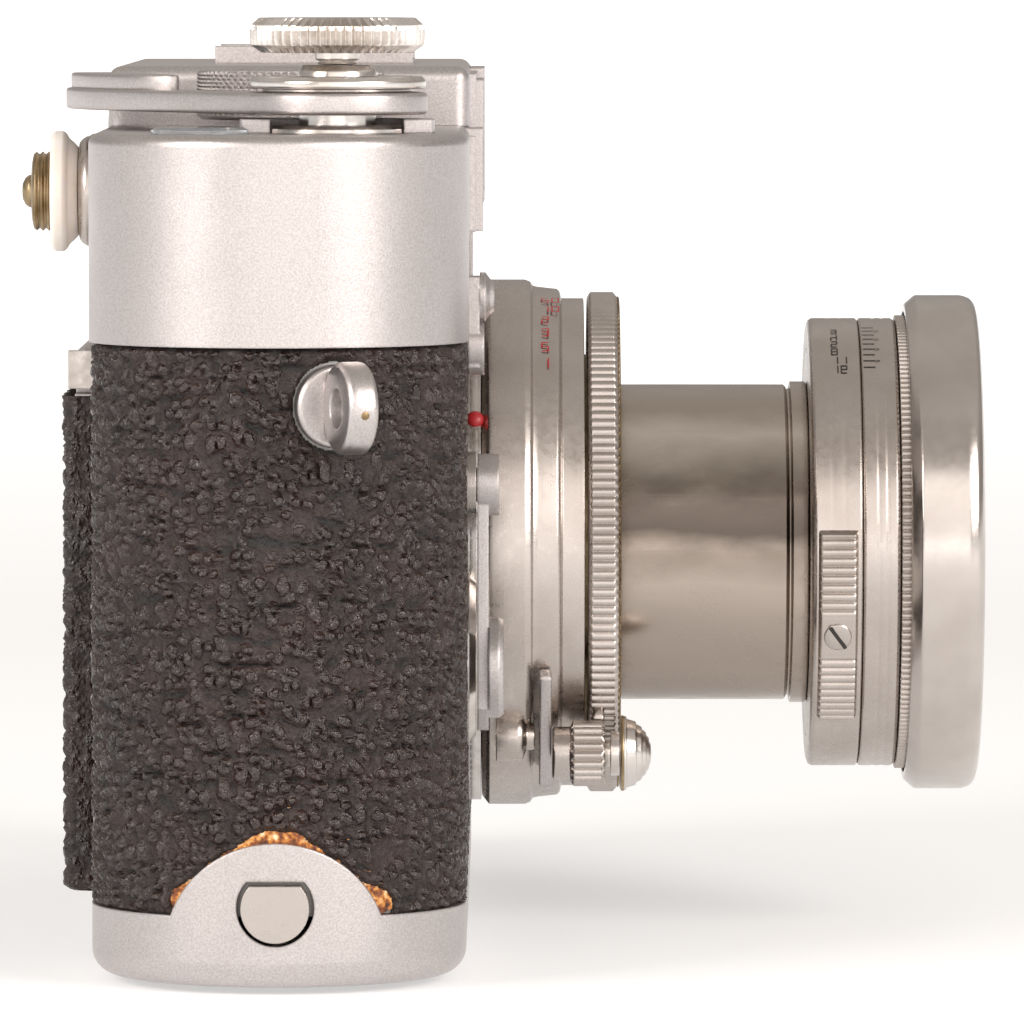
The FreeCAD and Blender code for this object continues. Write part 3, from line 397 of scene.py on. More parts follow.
def ridges(count, depth, low, high, least, sharp=1.0, ramp=0.25):
    """Relief of straight ridges: the radius dips by depth in each groove between two heights.

    The groove is the absolute cosine of half the ridge count times the angle, to a power.
    """
    def cut(radius, height, angle):
        """Radius with the grooves taken out."""
        wave = np.abs(np.cos(count * angle / 2)) ** sharp
        ends = np.clip((height - low) / ramp, 0, 1) * np.clip((high - height) / ramp, 0, 1)
        return radius - depth * (1 - wave) * ends * (radius > least)
    return cut


def fine_rows(profile, low, high, step):
    """Adds points to the profile along its outer edge between two heights."""
    rows = []
    for one, two in zip(profile, profile[1:]):
        rows.append(one)
        if min(one[1], two[1]) <= low + 1e-6 and max(one[1], two[1]) >= high - 1e-6 and one[0] == two[0]:
            for height in np.arange(low + step, high, step) if two[1] > one[1] else ():
                rows.append((one[0], height))
    return rows + [profile[-1]]


# ---- covering ---------------------------------------------------------------------------


def cells(across, up, size, seed):
    """Distance to the nearest and second-nearest of one jittered point per cell of a plane."""
    rng = np.random.default_rng(seed)
    table = rng.random((64, 64, 2))
    u, v = across / size, up / size
    near, next_near = np.full(u.shape, 9.0), np.full(u.shape, 9.0)
    for du in (-1, 0, 1):
        for dv in (-1, 0, 1):
            cu, cv = np.floor(u).astype(int) + du, np.floor(v).astype(int) + dv
            spot = table[cu % 64, cv % 64]
            gap = np.hypot(u - cu - spot[..., 0], v - cv - spot[..., 1])
            next_near = np.minimum(next_near, np.maximum(near, gap))
            near = np.minimum(near, gap)
    return near, next_near


def waves(across, up, size, seed):
    """Smooth pseudo-random field from -1 to 1: a sum of sines with turning directions."""
    rng = np.random.default_rng(seed)
    total = np.zeros(across.shape)
    for _ in range(7):
        way, phase = rng.uniform(0, 2 * pi, 2)
        pitch = size * rng.uniform(0.7, 1.6)
        total += np.sin((across * cos(way) + up * sin(way)) * 2 * pi / pitch + phase)
    return total / 4


def pebbles(across, up):
    """Height from 0 in the creases to 1 on the domes, over the covering's flat sheet.

    Long creases are narrow bell-shaped grooves along wandering level lines, 2.5 apart. The
    sheet sags a little from each crease to the next. On it sit steep domes, one minus the
    squared distance to the nearest cell point over a radius that varies from cell to cell.
    """
    drift = 0.72 * waves(across / 1.9, up, 5.6, 3) + 0.3 * waves(across / 1.4, up, 2.6, 4)
    level = (up + drift) / 2.5
    share = level - np.floor(level)
    gap = np.minimum(share, 1 - share) * 2.5
    strength = np.clip(0.7 + 0.8 * waves(across / 1.6, up, 4.2, 7), 0, 1)
    crease = np.exp(-(gap / 0.2) ** 2) * strength
    near, next_near = cells(across / 1.04, (up + drift) / 0.96, 1.3, 11)
    size = 0.54 + 0.12 * waves(across, up, 1.9, 6)
    dome = np.clip(1 - (near / size) ** 2, 0, 1) ** 0.8
    neck = np.clip((next_near - near) / 0.22, 0, 1)
    small, _ = cells(across, up, 0.56, 12)
    grit = 0.17 * np.clip(1 - (small / 0.5) ** 2, 0, 1)
    sag = 0.08 * share
    return np.clip(0.2 + sag + grit + 0.7 * dome * neck - 0.34 * crease, 0, 1)


def around(travel):
    """A point and outward normal on the slot outline, at a distance along it from the near end.

    Travel 0 is the tip of the winding end. It grows along the back, and is negative along
    the front. Past a quarter turn the outline is straight.
    """
    turn = np.clip(np.abs(travel), 0, QUARTER) / LEATHER
    run = np.clip(np.abs(travel) - QUARTER, 0, 2 * END_CENTRE)
    over = np.clip(np.abs(travel) - QUARTER - 2 * END_CENTRE, 0, QUARTER) / LEATHER
    side = np.sign(travel) + (travel == 0)
    normal_x = np.where(over > 0, np.sin(over), -np.cos(turn))
    normal_y = np.where(over > 0, np.cos(over), np.sin(turn)) * side
    return -END_CENTRE + run, normal_x, normal_y


def covering_sheet(name, points, height, keep, body, nodes=()):
    """A sheet of covering over a grid of points; its height is kept for the material to read."""
    mesh = grid_mesh(name, points, False, keep)
    values = height.reshape(-1).astype(np.float32)
    mesh.attributes.new("lump", "FLOAT", "POINT").data.foreach_set("value", values)
    finished(name, mesh, COVERING, body, nodes, 80)


def covering_piece(name, low, high, step, nodes=()):
    """The covering wrapped round the body from one distance along the outline to another.

    Its height above the shell is a skirt at the edges, then the pebbles' height.
    """
    bottom, top = 6.15, top_of("body_covering")
    travel = np.linspace(low, high, int((high - low) / step) + 1)
    level = np.linspace(bottom, top, int((top - bottom) / step) + 1)
    s, z = np.meshgrid(travel, level)
    centre_x, nx, ny = around(s)
    hole, snap_s, snap_z = covering_holes(s, z, centre_x + nx * LEATHER, ny > 0)
    height = pebbles(s, z)
    edge = np.clip(np.minimum(hole / 0.5, np.minimum(top - z, z - bottom + 0.2) / 0.4), 0, 1)
    depth = SKIRT + RELIEF * height * edge + 0.05 * edge
    depth = np.where(hole <= 1e-6, SKIRT, depth)
    centre_x, nx, ny = around(snap_s)
    points = np.stack([centre_x + nx * depth, ny * depth, snap_z], axis=-1)
    inside = hole < -0.6 * step
    corners = inside[:-1, :-1] | inside[1:, :-1] | inside[1:, 1:] | inside[:-1, 1:]
    covering_sheet(name, points, height * edge, ~corners, "camera_body", nodes)


def covering_holes(s, z, x, back):
    """Signed distance to the nearest opening, and the grid pulled onto the opening's rim.

    The openings are circles and the door's rectangle. The hook's circle is torn: two sines and
    three bell-shaped bites of the angle are added to its radius.
    """
    def front(place_x):
        """Distance along the outline to a place across the front."""
        return -(QUARTER + place_x + END_CENTRE)

    lug = LUG_TURN * LEATHER
    circles = [(front(LENS[0]), LENS[2], 22.3, 0), (0, HOOK_HEIGHT, HOOK_HOLE, 1),
               (-lug, LUG_HEIGHT, LUG_HOLE, 0)]
    circles += [(front(place_x), place_z, radius, 0) for place_x, place_z, radius in PIVOTS.values()]
    circles += [(lug - HALF_WAY, LUG_HEIGHT, LUG_HOLE, 0)]
    hole, new_s, new_z = np.full(s.shape, 9.0), s.copy(), z.copy()
    for cs, cz, radius, torn in circles:
        angle = np.arctan2(z - cz, s - cs)
        rim = radius + torn * (0.08 * np.sin(11 * angle) + 0.06 * np.sin(29 * angle + 1)
                               + 0.85 * np.exp(-((angle - 1.6) / 0.26) ** 4)
                               + 1.3 * np.exp(-((angle - 0.47) / 0.15) ** 2)
                               + 2.3 * np.exp(-((angle - 2.76) / 0.19) ** 2))
        gap = np.hypot(s - cs, z - cz) - rim
        close = (np.abs(gap) < 0.4) & (gap < 0)
        new_s = np.where(close, cs + rim * np.cos(angle), new_s)
        new_z = np.where(close, cz + rim * np.sin(angle), new_z)
        hole = np.minimum(hole, gap)
    door_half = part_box("back_door")[1][0] / MM + 0.35
    door_top = 53.25
    door = np.maximum(np.abs(x) - door_half, z - door_top)
    return np.where(back, np.minimum(hole, door), hole), new_s, new_z


def cover_body():
    """The covering in three sheets: a fine one round the near end, coarser ones beyond it."""
    reach, fine, coarse = QUARTER + 15, 0.215, 0.42
    covering_piece("covering_winding_end", -reach, reach, fine, ("body_covering",))
    covering_piece("covering_front", -HALF_WAY, -reach, coarse)
    covering_piece("covering_back", reach, HALF_WAY, coarse)


def cover_door():
    """The door's covering: a rounded plate edge, then the pebbled face, worked out as one sheet.

    Distance from the middle of the sheet is bent over the plate's edge as a quarter circle.
    """
    low, high = np.array(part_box("back_door")) / MM
    top = top_of("back_door_covering")
    half, bottom, face, edge = high[0] + 0.02, low[2], high[1], 0.7
    wide = np.arange(-half - 2.6, half + 2.6 + 0.01, 0.3)
    tall = np.arange(bottom - 2.0, top + 0.3, 0.3)
    u, v = np.meshgrid(wide, tall)
    height = pebbles(u + 200, v)
    over_u = np.clip(np.abs(u) - (half - edge), 0, 3.3)
    over_v = np.clip(bottom + edge - v, 0, 2.7)
    turn_u, turn_v = (np.clip(over / edge, 0, pi / 2) for over in (over_u, over_v))
    x = np.sign(u) * (np.minimum(np.abs(u), half - edge) + edge * np.sin(turn_u))
    z = np.maximum(v, bottom + edge) - edge * np.sin(turn_v)
    sink = sum(edge * (1 - np.cos(turn)) + np.clip(over - edge * pi / 2, 0, 9)
               for over, turn in ((over_u, turn_u), (over_v, turn_v)))
    y = face + 0.02 + 0.58 * height - np.clip(sink, 0, 2.45)
    flare = 0.28 * (over_u > edge) * height
    points = np.stack([x + np.sign(u) * flare, y, z], axis=-1)
    covering_sheet("door_covering", points, height, None, "back_door", ("back_door_covering",))


def lay_glue():
    """A thin wandering smear of glue on the shell round the hook tab.

    It is a ring about the hook's centre, wrapped on the shell, whose outer rim wanders.
    """
    angle = np.linspace(radians(18), radians(162), 200)[None, :]
    share = np.linspace(0, 1, 10)[:, None]
    radius = 9.3 + share * (3.6 + 0.3 * np.sin(9 * angle))
    s, z = radius * np.cos(angle), HOOK_HEIGHT + radius * np.sin(angle)
    centre_x, nx, ny = around(s)
    depth = SKIRT - 0.02 + 0.12 * pebbles(s * 2 + 40, z * 2)
    points = np.stack([centre_x + nx * depth, ny * depth, z], axis=-1)
    finished("glue_residue", grid_mesh("glue_residue", points, False), GLUE, "camera_body",
             (), 60)


# ---- top controls -----------------------------------------------------------------------


def make_soft_release():
    """A knurled disc with a dished top on its threaded stud."""
    stud = [(0, 78.06), (1.6, 78.06), (1.75, 78.2), (1.5, 78.32), (1.9, 78.5), (1.9, 79.07)]
    disc = [(6.5, 79.07), (7.42, 79.72), (7.49, 80.2), (7.49, 81.0), (7.42, 81.4), (6.7, 82.06), (6.0, 82.06),
            (5.4, 81.9), (3.6, 81.5), (0, 81.35)]
    count, depth = 52, 0.72

    def teeth(radius, height, angle):
        """V-shaped teeth: a triangle wave of the angle, full depth on the rim, gone inboard."""
        wave = np.abs((count * angle / (2 * pi)) % 1 - 0.5) * 2
        return radius - depth * wave * np.clip((radius - 6.2) / 0.6, 0, 1) * (height > 79.05)

    lathe("soft_release_disc", stud + disc, HUB, "Z", POLISHED, "release_button",
          ("soft_release",), 0.06, teeth, count * 4)


def make_collars():
    """The lever's dished top collar and the release plunger in it, both turned profiles."""
    top = top_of("lever_collar")
    lathe("lever_top_collar", [(3.65, 75.72), (6.4, 75.72), (6.4, 76.0), (7.45, 76.0), (7.6, 76.2),
                               (7.6, 76.65), (7.25, top), (6.9, top), (6.7, top - 0.08), (3.65, top - 0.08)],
          HUB, "Z", POLISHED, "advance_lever", ("lever_collar",), 0.1)
    lathe("release_plunger", [(0, 61), (1.9, 61), (1.9, 77.0), (3.42, 77.0), (3.3, 77.5), (3.0, 78.0),
                              (2.9, 78.03), (0, 78.03)],
          HUB, "Z", POLISHED, "release_button", ("release_button",), 0.06)


def slab(outline, low, high, edge, name):
    """A flat piece with rounded rims: the closed outline, pulled in near its two faces.

    The pull-in follows a quarter circle, so the rims are rounded by edge.
    """
    ahead, behind = np.roll(outline, -1, axis=0), np.roll(outline, 1, axis=0)
    along = ahead - behind
    normal = np.stack([along[:, 1], -along[:, 0]], axis=1) / np.linalg.norm(along, axis=1)[:, None]
    rings, count = [], len(outline)
    for share in np.linspace(0, 1, 5):
        pull = edge * (1 - np.sin(share * pi / 2))
        rings.append((pull, low + edge * (1 - np.cos(share * pi / 2))))
    rings += [(pull, high - (height - low)) for pull, height in reversed(rings)]
    points = np.stack([np.column_stack([outline - pull * normal, np.full(count, z)]) for pull, z in rings])
    mesh = bpy.data.meshes.new(name)
    index = np.arange(points.size // 3).reshape(len(rings), count)
    turned = np.roll(index, -1, axis=1)
    quads = np.stack([index[:-1], turned[:-1], turned[1:], index[1:]], axis=-1).reshape(-1, 4).tolist()
    faces = quads + [index[0, ::-1].tolist(), index[-1].tolist()]
    mesh.from_pydata((points.reshape(-1, 3) * MM).tolist(), [], faces)
    return mesh


def flowing(points, rounds=3):
    """A closed outline with its corners cut again and again at a quarter and three quarters."""
    for _ in range(rounds):
        ahead = np.roll(points, -1, axis=0)
        points = np.stack([0.75 * points + 0.25 * ahead, 0.25 * points + 0.75 * ahead], axis=1).reshape(-1, 2)
    return points


def make_lever():
    """The crank-shaped advance lever: hub disc, arm behind the dial and raised thumb rest."""
    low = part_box("advance_lever")[0][2] / MM
    high = low + 1.9
    arm = np.array([(-3.6, 6.7), (-7.0, 1.5), (-3.0, -6.0), (3.0, -5.5), (5.6, 3.6), (8.3, 8.4), (15.5, 13.5),
                    (22, 15.6), (29, 16.5), (34.4, 18.0), (35.4, 21.2), (34.4, 24.6), (29.5, 24.5),
                    (22.5, 22.3), (12.5, 17.2), (4.0, 11.4)])
    rest = np.array([(12.6, 13.6), (16.5, 14.6), (22, 16.1), (29, 17.0), (34.0, 18.3), (34.9, 21.2),
                     (34.0, 24.2), (29.5, 24.0), (22.7, 21.8), (15.5, 18.2)])
    centre = HUB[:2]
    lathe("lever_hub", [(3.7, low), (7.45, low), (7.73, low + 0.25), (7.73, high - 0.25), (7.45, high),
                        (3.7, high)], HUB, "Z", SATIN, "advance_lever", ("advance_lever",))
    for name, outline, bottom, top in (("lever_arm", arm, low + 0.02, high - 0.02),
                                       ("lever_thumb_rest", rest, high - 0.2, 77.0)):
        mesh = slab(flowing(outline) + centre, bottom, top, 0.28, name)
        finished(name, mesh, SATIN, "advance_lever")


def diamonds(count, depth, low, high, least):
    """Relief of a crossed knurl: the larger of two slanted wave families sets each groove."""
    def cut(radius, height, angle):
        """Radius with the crossed grooves taken out."""
        slant = (height - low) / 0.66 * 2 * pi
        one, two = np.abs(np.sin((count * angle + slant) / 2)), np.abs(np.sin((count * angle - slant) / 2))
        inside = (height > low) & (height < high) & (radius > least)
        return radius - depth * (1 - np.minimum(one, two)) * inside
    return cut


def make_dials():
    """Shutter-speed and rewind knobs: turned profiles whose walls carry a crossed knurl."""
    wall = [(8.2, 73.3)] + [(8.25, h) for h in np.linspace(73.4, 77.05, 30)]
    lathe("shutter_dial_knob", [(0, 64), (2, 64), (2, 73.0), (7.8, 73.0)] + wall
          + [(8.0, 77.25), (7.7, 77.4), (6.9, 77.4), (6.7, 77.3), (0, 77.3)],
          DIAL, "Z", SATIN, "shutter_dial", ("shutter_dial",), 0.06,
          diamonds(74, 0.42, 73.35, 77.1, 7.95), 74 * 6)
    wall = [(7.4, h) for h in np.linspace(73.9, 76.2, 20)]
    lathe("rewind_top_knob",
          [(0, 73.2), (5.9, 73.2)] + wall + [(6.7, 76.9), (6.0, 76.95), (5.6, 76.6), (0, 76.6)],
          REWIND, "Z", SATIN, "rewind_knob", ("rewind_knob",), 0.06,
          diamonds(66, 0.38, 73.85, 76.25, 7.1), 66 * 6)


# ---- lens -------------------------------------------------------------------------------


def rings(profile, low, high, pitch, depth):
    """Adds fine turned grooves to a profile's outer run: its radius dips by depth every pitch."""
    out = []
    for one, two in zip(profile, profile[1:]):
        out.append(one)
        if abs(one[1] - low) < 1e-6 and abs(two[1] - high) < 1e-6:
            for height in np.arange(low + pitch, high - pitch / 2, pitch):
                out += [(one[0], height - 0.3 * pitch), (one[0] - depth, height),
                        (one[0], height + 0.3 * pitch)]
    return out + [profile[-1]]


def make_mount():
    """The lens's stepped flange, its stop post and the body's mount ring, turned profiles."""
    barrel = [(17.06, 13), (18.92, 13), (18.92, 17.32), (23.0, 17.32), (23.35, 17.6), (23.8, 17.95),
              (23.8, 18.5), (23.8, 21.2), (23.6, 21.7), (23.25, 21.9), (23.15, 22.3), (22.95, 24.1),
              (22.7, 24.35), (22.1, 24.5), (22.1, 26.5), (17.06, 26.5), (17.06, 13)]
    lathe("lens_flange", barrel, LENS, "-Y", LATHED, "lens",
          ("lens_barrel",), 0.1, segments=256)
    turn, reach = radians(42.7), 24.2
    post = LENS + [-reach * cos(turn), 0, -reach * sin(turn)]
    lathe("infinity_stop_post", [(0, 18.6), (2.2, 18.6), (2.2, 20.6), (2.0, 21.0), (1.2, 21.3), (1.15, 22.05),
                                 (0, 22.1)], post, "-Y", LATHED, "lens")
    ring = [(21.0, 16.05), (23.2, 16.05), (23.4, 16.25), (23.4, 17.0), (23.2, 17.24), (20.0, 17.24)]
    lathe("mount_ring_edge", ring, LENS, "-Y", POLISHED, "camera_body", (), 0.08,
          segments=256)


def make_focus_ring():
    """The focusing ring and its brass rim: turned profiles cut by straight ridges."""
    count = 172
    wall = [(22.66, f) for f in np.linspace(27.15, 29.15, 9)]
    profile = ([(17.06, 26.8), (22.16, 26.8), (22.5, 27.0)] + wall
               + [(22.2, 29.55), (17.06, 29.55), (17.06, 26.8)])
    lathe("focusing_ring", profile, LENS, "-Y", LATHED, "focus_ring", ("focus_ring",), 0.05,
          ridges(count, 0.22, 26.95, 29.4, 22.2, 0.8, 0.25), count * 6)
    rim = [(21.0, 29.5), (22.15, 29.5), (22.3, 29.62), (22.1, 29.74), (21.2, 29.74), (21.0, 29.5)]
    lathe("focusing_ring_rim", rim, LENS, "-Y", BRASS, "focus_ring", (), 0.04,
          ridges(count, 0.35, 29.3, 29.9, 21.3, 1.0, 0.05), count * 6)


def make_tube():
    """The sliding tube, a turned profile with a groove and a shoulder under the head."""
    tube = [(13, 22), (14.28, 22), (14.28, 32), (14.28, 44.6), (14.1, 44.8), (13.9, 44.85), (13.9, 45.05),
            (14.3, 45.1), (14.55, 45.2), (14.55, 46.5), (14.4, 46.65), (13.45, 46.65), (13.45, 49.9),
            (12.5, 49.9), (12.5, 46), (13, 45.5), (13, 22)]
    lathe("sliding_tube", tube, LENS, "-Y", TUBE_METAL, "lens_tube",
          ("collapsible_tube",), 0.06, segments=256)


def make_head():
    """The head, its milled front ring and the aperture ring: turned, ridged and grooved."""
    head = [(13.5, 46.7), (17.5, 46.7), (17.5, 51.3), (20.1, 51.3), (20.3, 51.5), (20.3, 51.9), (20.3, 54.3),
            (20.1, 54.6), (19.4, 54.62), (19.4, 58.5), (14.8, 58.5), (14.8, 53.5), (12.2, 53.5), (12.2, 50),
            (13.5, 50), (13.5, 46.7)]
    lathe("lens_head_shell", rings(head, 51.9, 54.3, 0.8, 0.05), LENS, "-Y", LATHED, "lens_tube",
          ("lens_head",), 0.08, segments=256)
    bead = [(19.42, 54.62)] + [(20.55, f) for f in np.linspace(54.72, 55.9, 5)] + [(20.3, 56), (19.42, 56)]
    lathe("front_milled_ring", bead, LENS, "-Y", LATHED, "lens_tube",
          ("front_bead_ring",), 0.05, ridges(208, 0.32, 54.6, 56.05, 20.0, 0.8, 0.12), 208 * 6)
    wall = [(17.56, 46.7), (19.7, 46.7), (20.1, 46.85), (20.3, 47.15), (20.3, 47.5), (20.3, 50.8),
            (20.3, 51.1), (20.1, 51.25), (17.56, 51.25), (17.56, 46.7)]
    lathe("aperture_ring_shell", rings(wall, 47.5, 50.8, 1.1, 0.02), LENS, "-Y", LATHED, "aperture_ring",
          ("aperture_ring",), 0.08, segments=256)


def make_grips():
    """Two bent bars on the aperture ring: blocks wrapped on a cylinder, ribbed across, each
    with a slotted screw. A rib is the absolute sine of the distance round.
    """
    tilt, spin, half_length, foot = radians(20.5), radians(35), 9.6, 20.2
    along = np.array([0.0, 1.0, 0.0])
    across = np.linspace(-half_length, half_length, 193)
    ahead = np.linspace(-1, 1, 25)
    end = np.clip((half_length - np.abs(across)) / 0.5, 0, 1)
    rim = np.sqrt(1 - np.clip((np.abs(ahead) - 0.8) / 0.2, 0, 1) ** 2)
    rib = 0.24 * np.abs(np.sin(across * pi / 0.8)) ** 0.7 - 0.24
    flat = np.clip((np.abs(across) - 1.7) / 0.2, 0, 1)
    a, f = np.meshgrid(across, ahead)
    radius = foot + 0.05 + np.outer(rim, end) * (0.8 + rib * flat)
    angle = a / 20.6 - tilt
    head = [(0, 0.3), (1.3, 0.3), (1.3, 0.78), (1.15, 0.95), (0.7, 1.05), (0, 1.08)]
    slot = [(p * 1.25 * cos(spin) - q * 0.17 * sin(spin), p * 1.25 * sin(spin) + q * 0.17 * cos(spin), 1.1)
            for p, q in ((-1, -1), (1, -1), (-1, 1), (1, 1))]
    for side, word, nodes in ((-1, "near", ("aperture_grips",)), (1, "far", ())):
        points = np.stack([LENS[0] + side * radius * np.cos(angle), -(49.05 + 1.78 * f),
                           LENS[2] + radius * np.sin(angle)], axis=-1)
        finished("aperture_grip_" + word, grid_mesh("aperture_grip", points, False), LATHED,
                 "aperture_ring", nodes, 50)
        out = np.array([side * cos(tilt), 0, -sin(tilt)])
        turn = turned_to(out, along)
        place = LENS + [0, -49.0, 0] + out * foot
        lathe("grip_screw_" + word, head, place, turn, STEEL, "aperture_ring", (), 0.04, segments=48)
        # Painted shade: the screw's slot is a flat dark strip laid on the head, not a cut, coloured like the
        # engraving ink.
        points = (np.array(slot) @ turn.T + place).reshape(2, 2, 3)
        finished("grip_screw_slot_shade_" + word, grid_mesh("grip_screw_slot_shade", points, False), INK,
                 "aperture_ring", (), 50)


def make_cap():
    """The slip-on cap, a turned cup with a bevelled wall and a rounded rim."""
    cap = [(20.9, 55.5), (21.5, 55.5), (21.7, 55.7), (22.39, 56.5), (22.39, 57), (22.39, 60.6), (22.3, 61.0),
           (22.1, 61.5), (21.7, 61.85), (21.0, 62.05), (19.5, 62.1), (0, 62.1), (0, 60.9), (20.9, 60.9),
           (20.9, 55.5)]
    lathe("lens_cap_shell", cap, LENS, "-Y", CAP_METAL, "lens_cap", ("lens_cap",), 0.18,
          segments=256)


def arc_bar(name, low, high, radius, ahead, material):
    """A bar bent round the lens's axis from one angle to another, in degrees.

    Its section is a rounded rectangle: cosine and sine of the turn, each to the quarter
    power, times the half width. The ends close over one degree. Pairs are middle and half.
    """
    angle, share = np.meshgrid(np.linspace(low, high, 69), np.linspace(0, 2 * pi, 33))
    end = np.sqrt(np.clip(np.minimum(angle - low, high - angle), 0, 1))
    across, forward = (np.sign(wave(share)) * np.abs(wave(share)) ** 0.25 * end for wave in (np.cos, np.sin))
    out, angle = radius[0] + radius[1] * across, np.radians(angle)
    points = np.stack([LENS[0] + out * np.cos(angle), -(ahead[0] + ahead[1] * forward),
                       LENS[2] + out * np.sin(angle)], axis=-1)
    finished(name, grid_mesh(name, points, False), material, "focus_ring", (), 50)


def make_lock():
    """Infinity catch: a turned collar, a ribbed barrel and a stepped dome for a button.

    Its latch plate is a short arc of a ring round the lens, edge on to the side.
    """
    housing = [(0, 23.6), (2.1, 23.6), (2.35, 23.8), (2.35, 25.2), (2.6, 25.3), (2.95, 25.5),
               (2.95, 28.0), (2.7, 28.3), (0, 28.3)]
    lathe("infinity_catch_housing", fine_rows(housing, 25.5, 28.0, 0.4), CATCH, "-Y", LATHED, "focus_ring",
          ("infinity_lock_block",), 0.08, ridges(20, 0.36, 25.3, 28.1, 2.2, 0.8, 0.1), 160)
    button = [(0, 26), (1.19, 26), (1.19, 28.8), (2.0, 28.8), (2.0, 29.6), (3.1, 29.6), (3.3, 29.75),
              (3.3, 30.0)]
    for step in range(6):
        out, ahead = 3.3 - 0.46 * step, 30.0 + 2.3 * (1 - ((6 - step) / 6) ** 2) ** 0.8 * 0.95
        button += [(out, ahead + 0.14), (out - 0.12, ahead + 0.24), (out - 0.22, ahead + 0.2)]
    button += [(0.5, 32.4), (0, 32.45)]
    lathe("infinity_catch_button", button, CATCH, "-Y", POLISHED, "infinity_lock_button",
          ("infinity_lock_button",), 0.05, segments=216)
    rim = [(3.0, 29.66), (3.33, 29.72), (3.37, 29.9), (3.3, 30.02), (3.0, 30.04), (3.0, 29.66)]
    lathe("infinity_catch_brass_edge", rim, CATCH, "-Y", BRASS, "infinity_lock_button", (), 0.04)
    arc_bar("infinity_latch_plate", 205, 239, (24.1, 0.85), (23.0, 0.55), SATIN)
    arc_bar("infinity_catch_neck", 217, 229, (23.1, 0.85), (27.75, 0.5), LATHED)


def make_adapter():
    """The flash adapter's ivory collar, brass ring and pin, and both sockets: turned profiles."""
    flange = [(0, 16.4), (1.45, 16.4), (1.45, 18.32), (3.9, 18.32), (4.3, 18.7), (4.7, 19.15), (5.1, 19.35),
              (5.32, 19.65), (5.32, 20.35), (5.15, 20.65), (4.9, 20.73), (0, 20.73)]
    lathe("adapter_collar", flange, ADAPTER, "Y", IVORY, "sync_adapter", ("adapter_flange",),
          0.12)
    ridged = [(1.5, 20.76), (3.3, 20.76), (3.55, 20.95), (3.3, 21.2), (3.32, 21.3), (3.55, 21.5), (3.3, 21.75),
              (3.32, 21.85), (3.5, 22.05), (3.3, 22.3), (2.6, 22.45), (1.5, 22.49), (1.5, 20.76)]
    lathe("adapter_ridged_ring", ridged, ADAPTER, "Y", BRASS, "sync_adapter", ("adapter_terminal",),
          0.08)
    pin = [(0, 20.76), (1.45, 20.76), (1.45, 22.7), (1.2, 23.05), (0.7, 23.3), (0, 23.35)]
    lathe("adapter_centre_pin", pin, ADAPTER, "Y", BRASS, "sync_adapter", (), 0.1)
    socket = [(1.52, 14.8), (2.95, 14.8), (2.95, 16.34), (4.6, 16.34), (4.87, 16.6), (4.87, 17.6), (4.6, 18.0),
              (4.3, 18.25), (3.2, 18.25), (3.0, 18.0), (1.52, 18.0), (1.52, 14.8)]
    for word, away, nodes in (("first", 0, ("sync_sockets",)), ("second", 13, ())):
        lathe("sync_socket_rim_" + word, socket, ADAPTER + [away, 0, 0], "Y", LATHED, "camera_body",
              nodes, 0.1)


def make_lugs():
    """Each lug is a thick rounded coin with a hole, on a stepped seat on the shell's round end."""
    coin = [(1.7, -1.3), (1.85, -1.35), (3.55, -1.3), (3.85, -1.0), (3.92, -0.6), (3.92, 0.6), (3.85, 1.0),
            (3.55, 1.3), (1.85, 1.35), (1.7, 1.3), (1.6, 0), (1.7, -1.3)]
    seat = [(0, 15.2), (3.55, 15.2), (3.55, 16.1), (3.3, 16.4), (0, 16.4)]
    worn = [(0, -0.3), (0.42, -0.3), (0.36, 0.03), (0, 0.05)]
    up = np.array([0.0, 0.0, 1.0])
    coin_x, coin_y, wear = 71.604, -6.479, 3.9
    for side, word, nodes in ((-1, "near", ("strap_lugs",)), (1, "far", ())):
        out = np.array([side * cos(LUG_TURN), -sin(LUG_TURN), 0])
        hole = np.array([side * sin(LUG_TURN), cos(LUG_TURN), 0])
        root = np.array([side * END_CENTRE, 0, LUG_HEIGHT])
        centre = np.array([side * coin_x, coin_y, LUG_HEIGHT])
        lathe("strap_lug_" + word, coin, centre, turned_to(hole, up), SATIN, "camera_body", nodes,
              0.12, segments=96)
        lathe("strap_lug_seat_" + word, seat, root, turned_to(out, up), SATIN, "camera_body", (),
              0.1, segments=96)
        lathe("strap_lug_worn_spot_" + word, worn, centre + wear * out - [0, 0, 0.45], turned_to(out, up),
              BRASS, "camera_body", (), 0.05, segments=32)


def make_red_bead():
    """A domed enamel bead on the mount's edge, for lining the lens up: a quarter ellipse turned."""
    turn = radians(149)
    out, along = np.array([cos(turn), 0, sin(turn)]), np.array([0.0, 1.0, 0.0])
    dome = [(0.8 * cos(t), 0.6 * sin(t)) for t in np.linspace(0, 1.5, 9)]
    lathe("index_bead", [(0, -0.6), (0.78, -0.6)] + dome + [(0, 0.61)], LENS + [0, -16.75, 0] + out * 23.3,
          turned_to(out, along), RED, "camera_body", (), 0.05, segments=64)


# ---- scales -----------------------------------------------------------------------------

SEGMENTS = {"0": "abcdef", "1": "bc", "2": "abged", "3": "abgcd", "4": "fgbc", "5": "afgcd", "6": "afgedc",
            "7": "abc", "8": "abcdefg", "9": "gfabcd"}
STROKE_ENDS = {"a": ((0, 2), (1, 2)), "b": ((1, 2), (1, 1)), "c": ((1, 1), (1, 0)), "d": ((0, 0), (1, 0)),
               "e": ((0, 0), (0, 1)), "f": ((0, 1), (0, 2)), "g": ((0, 1), (1, 1))}


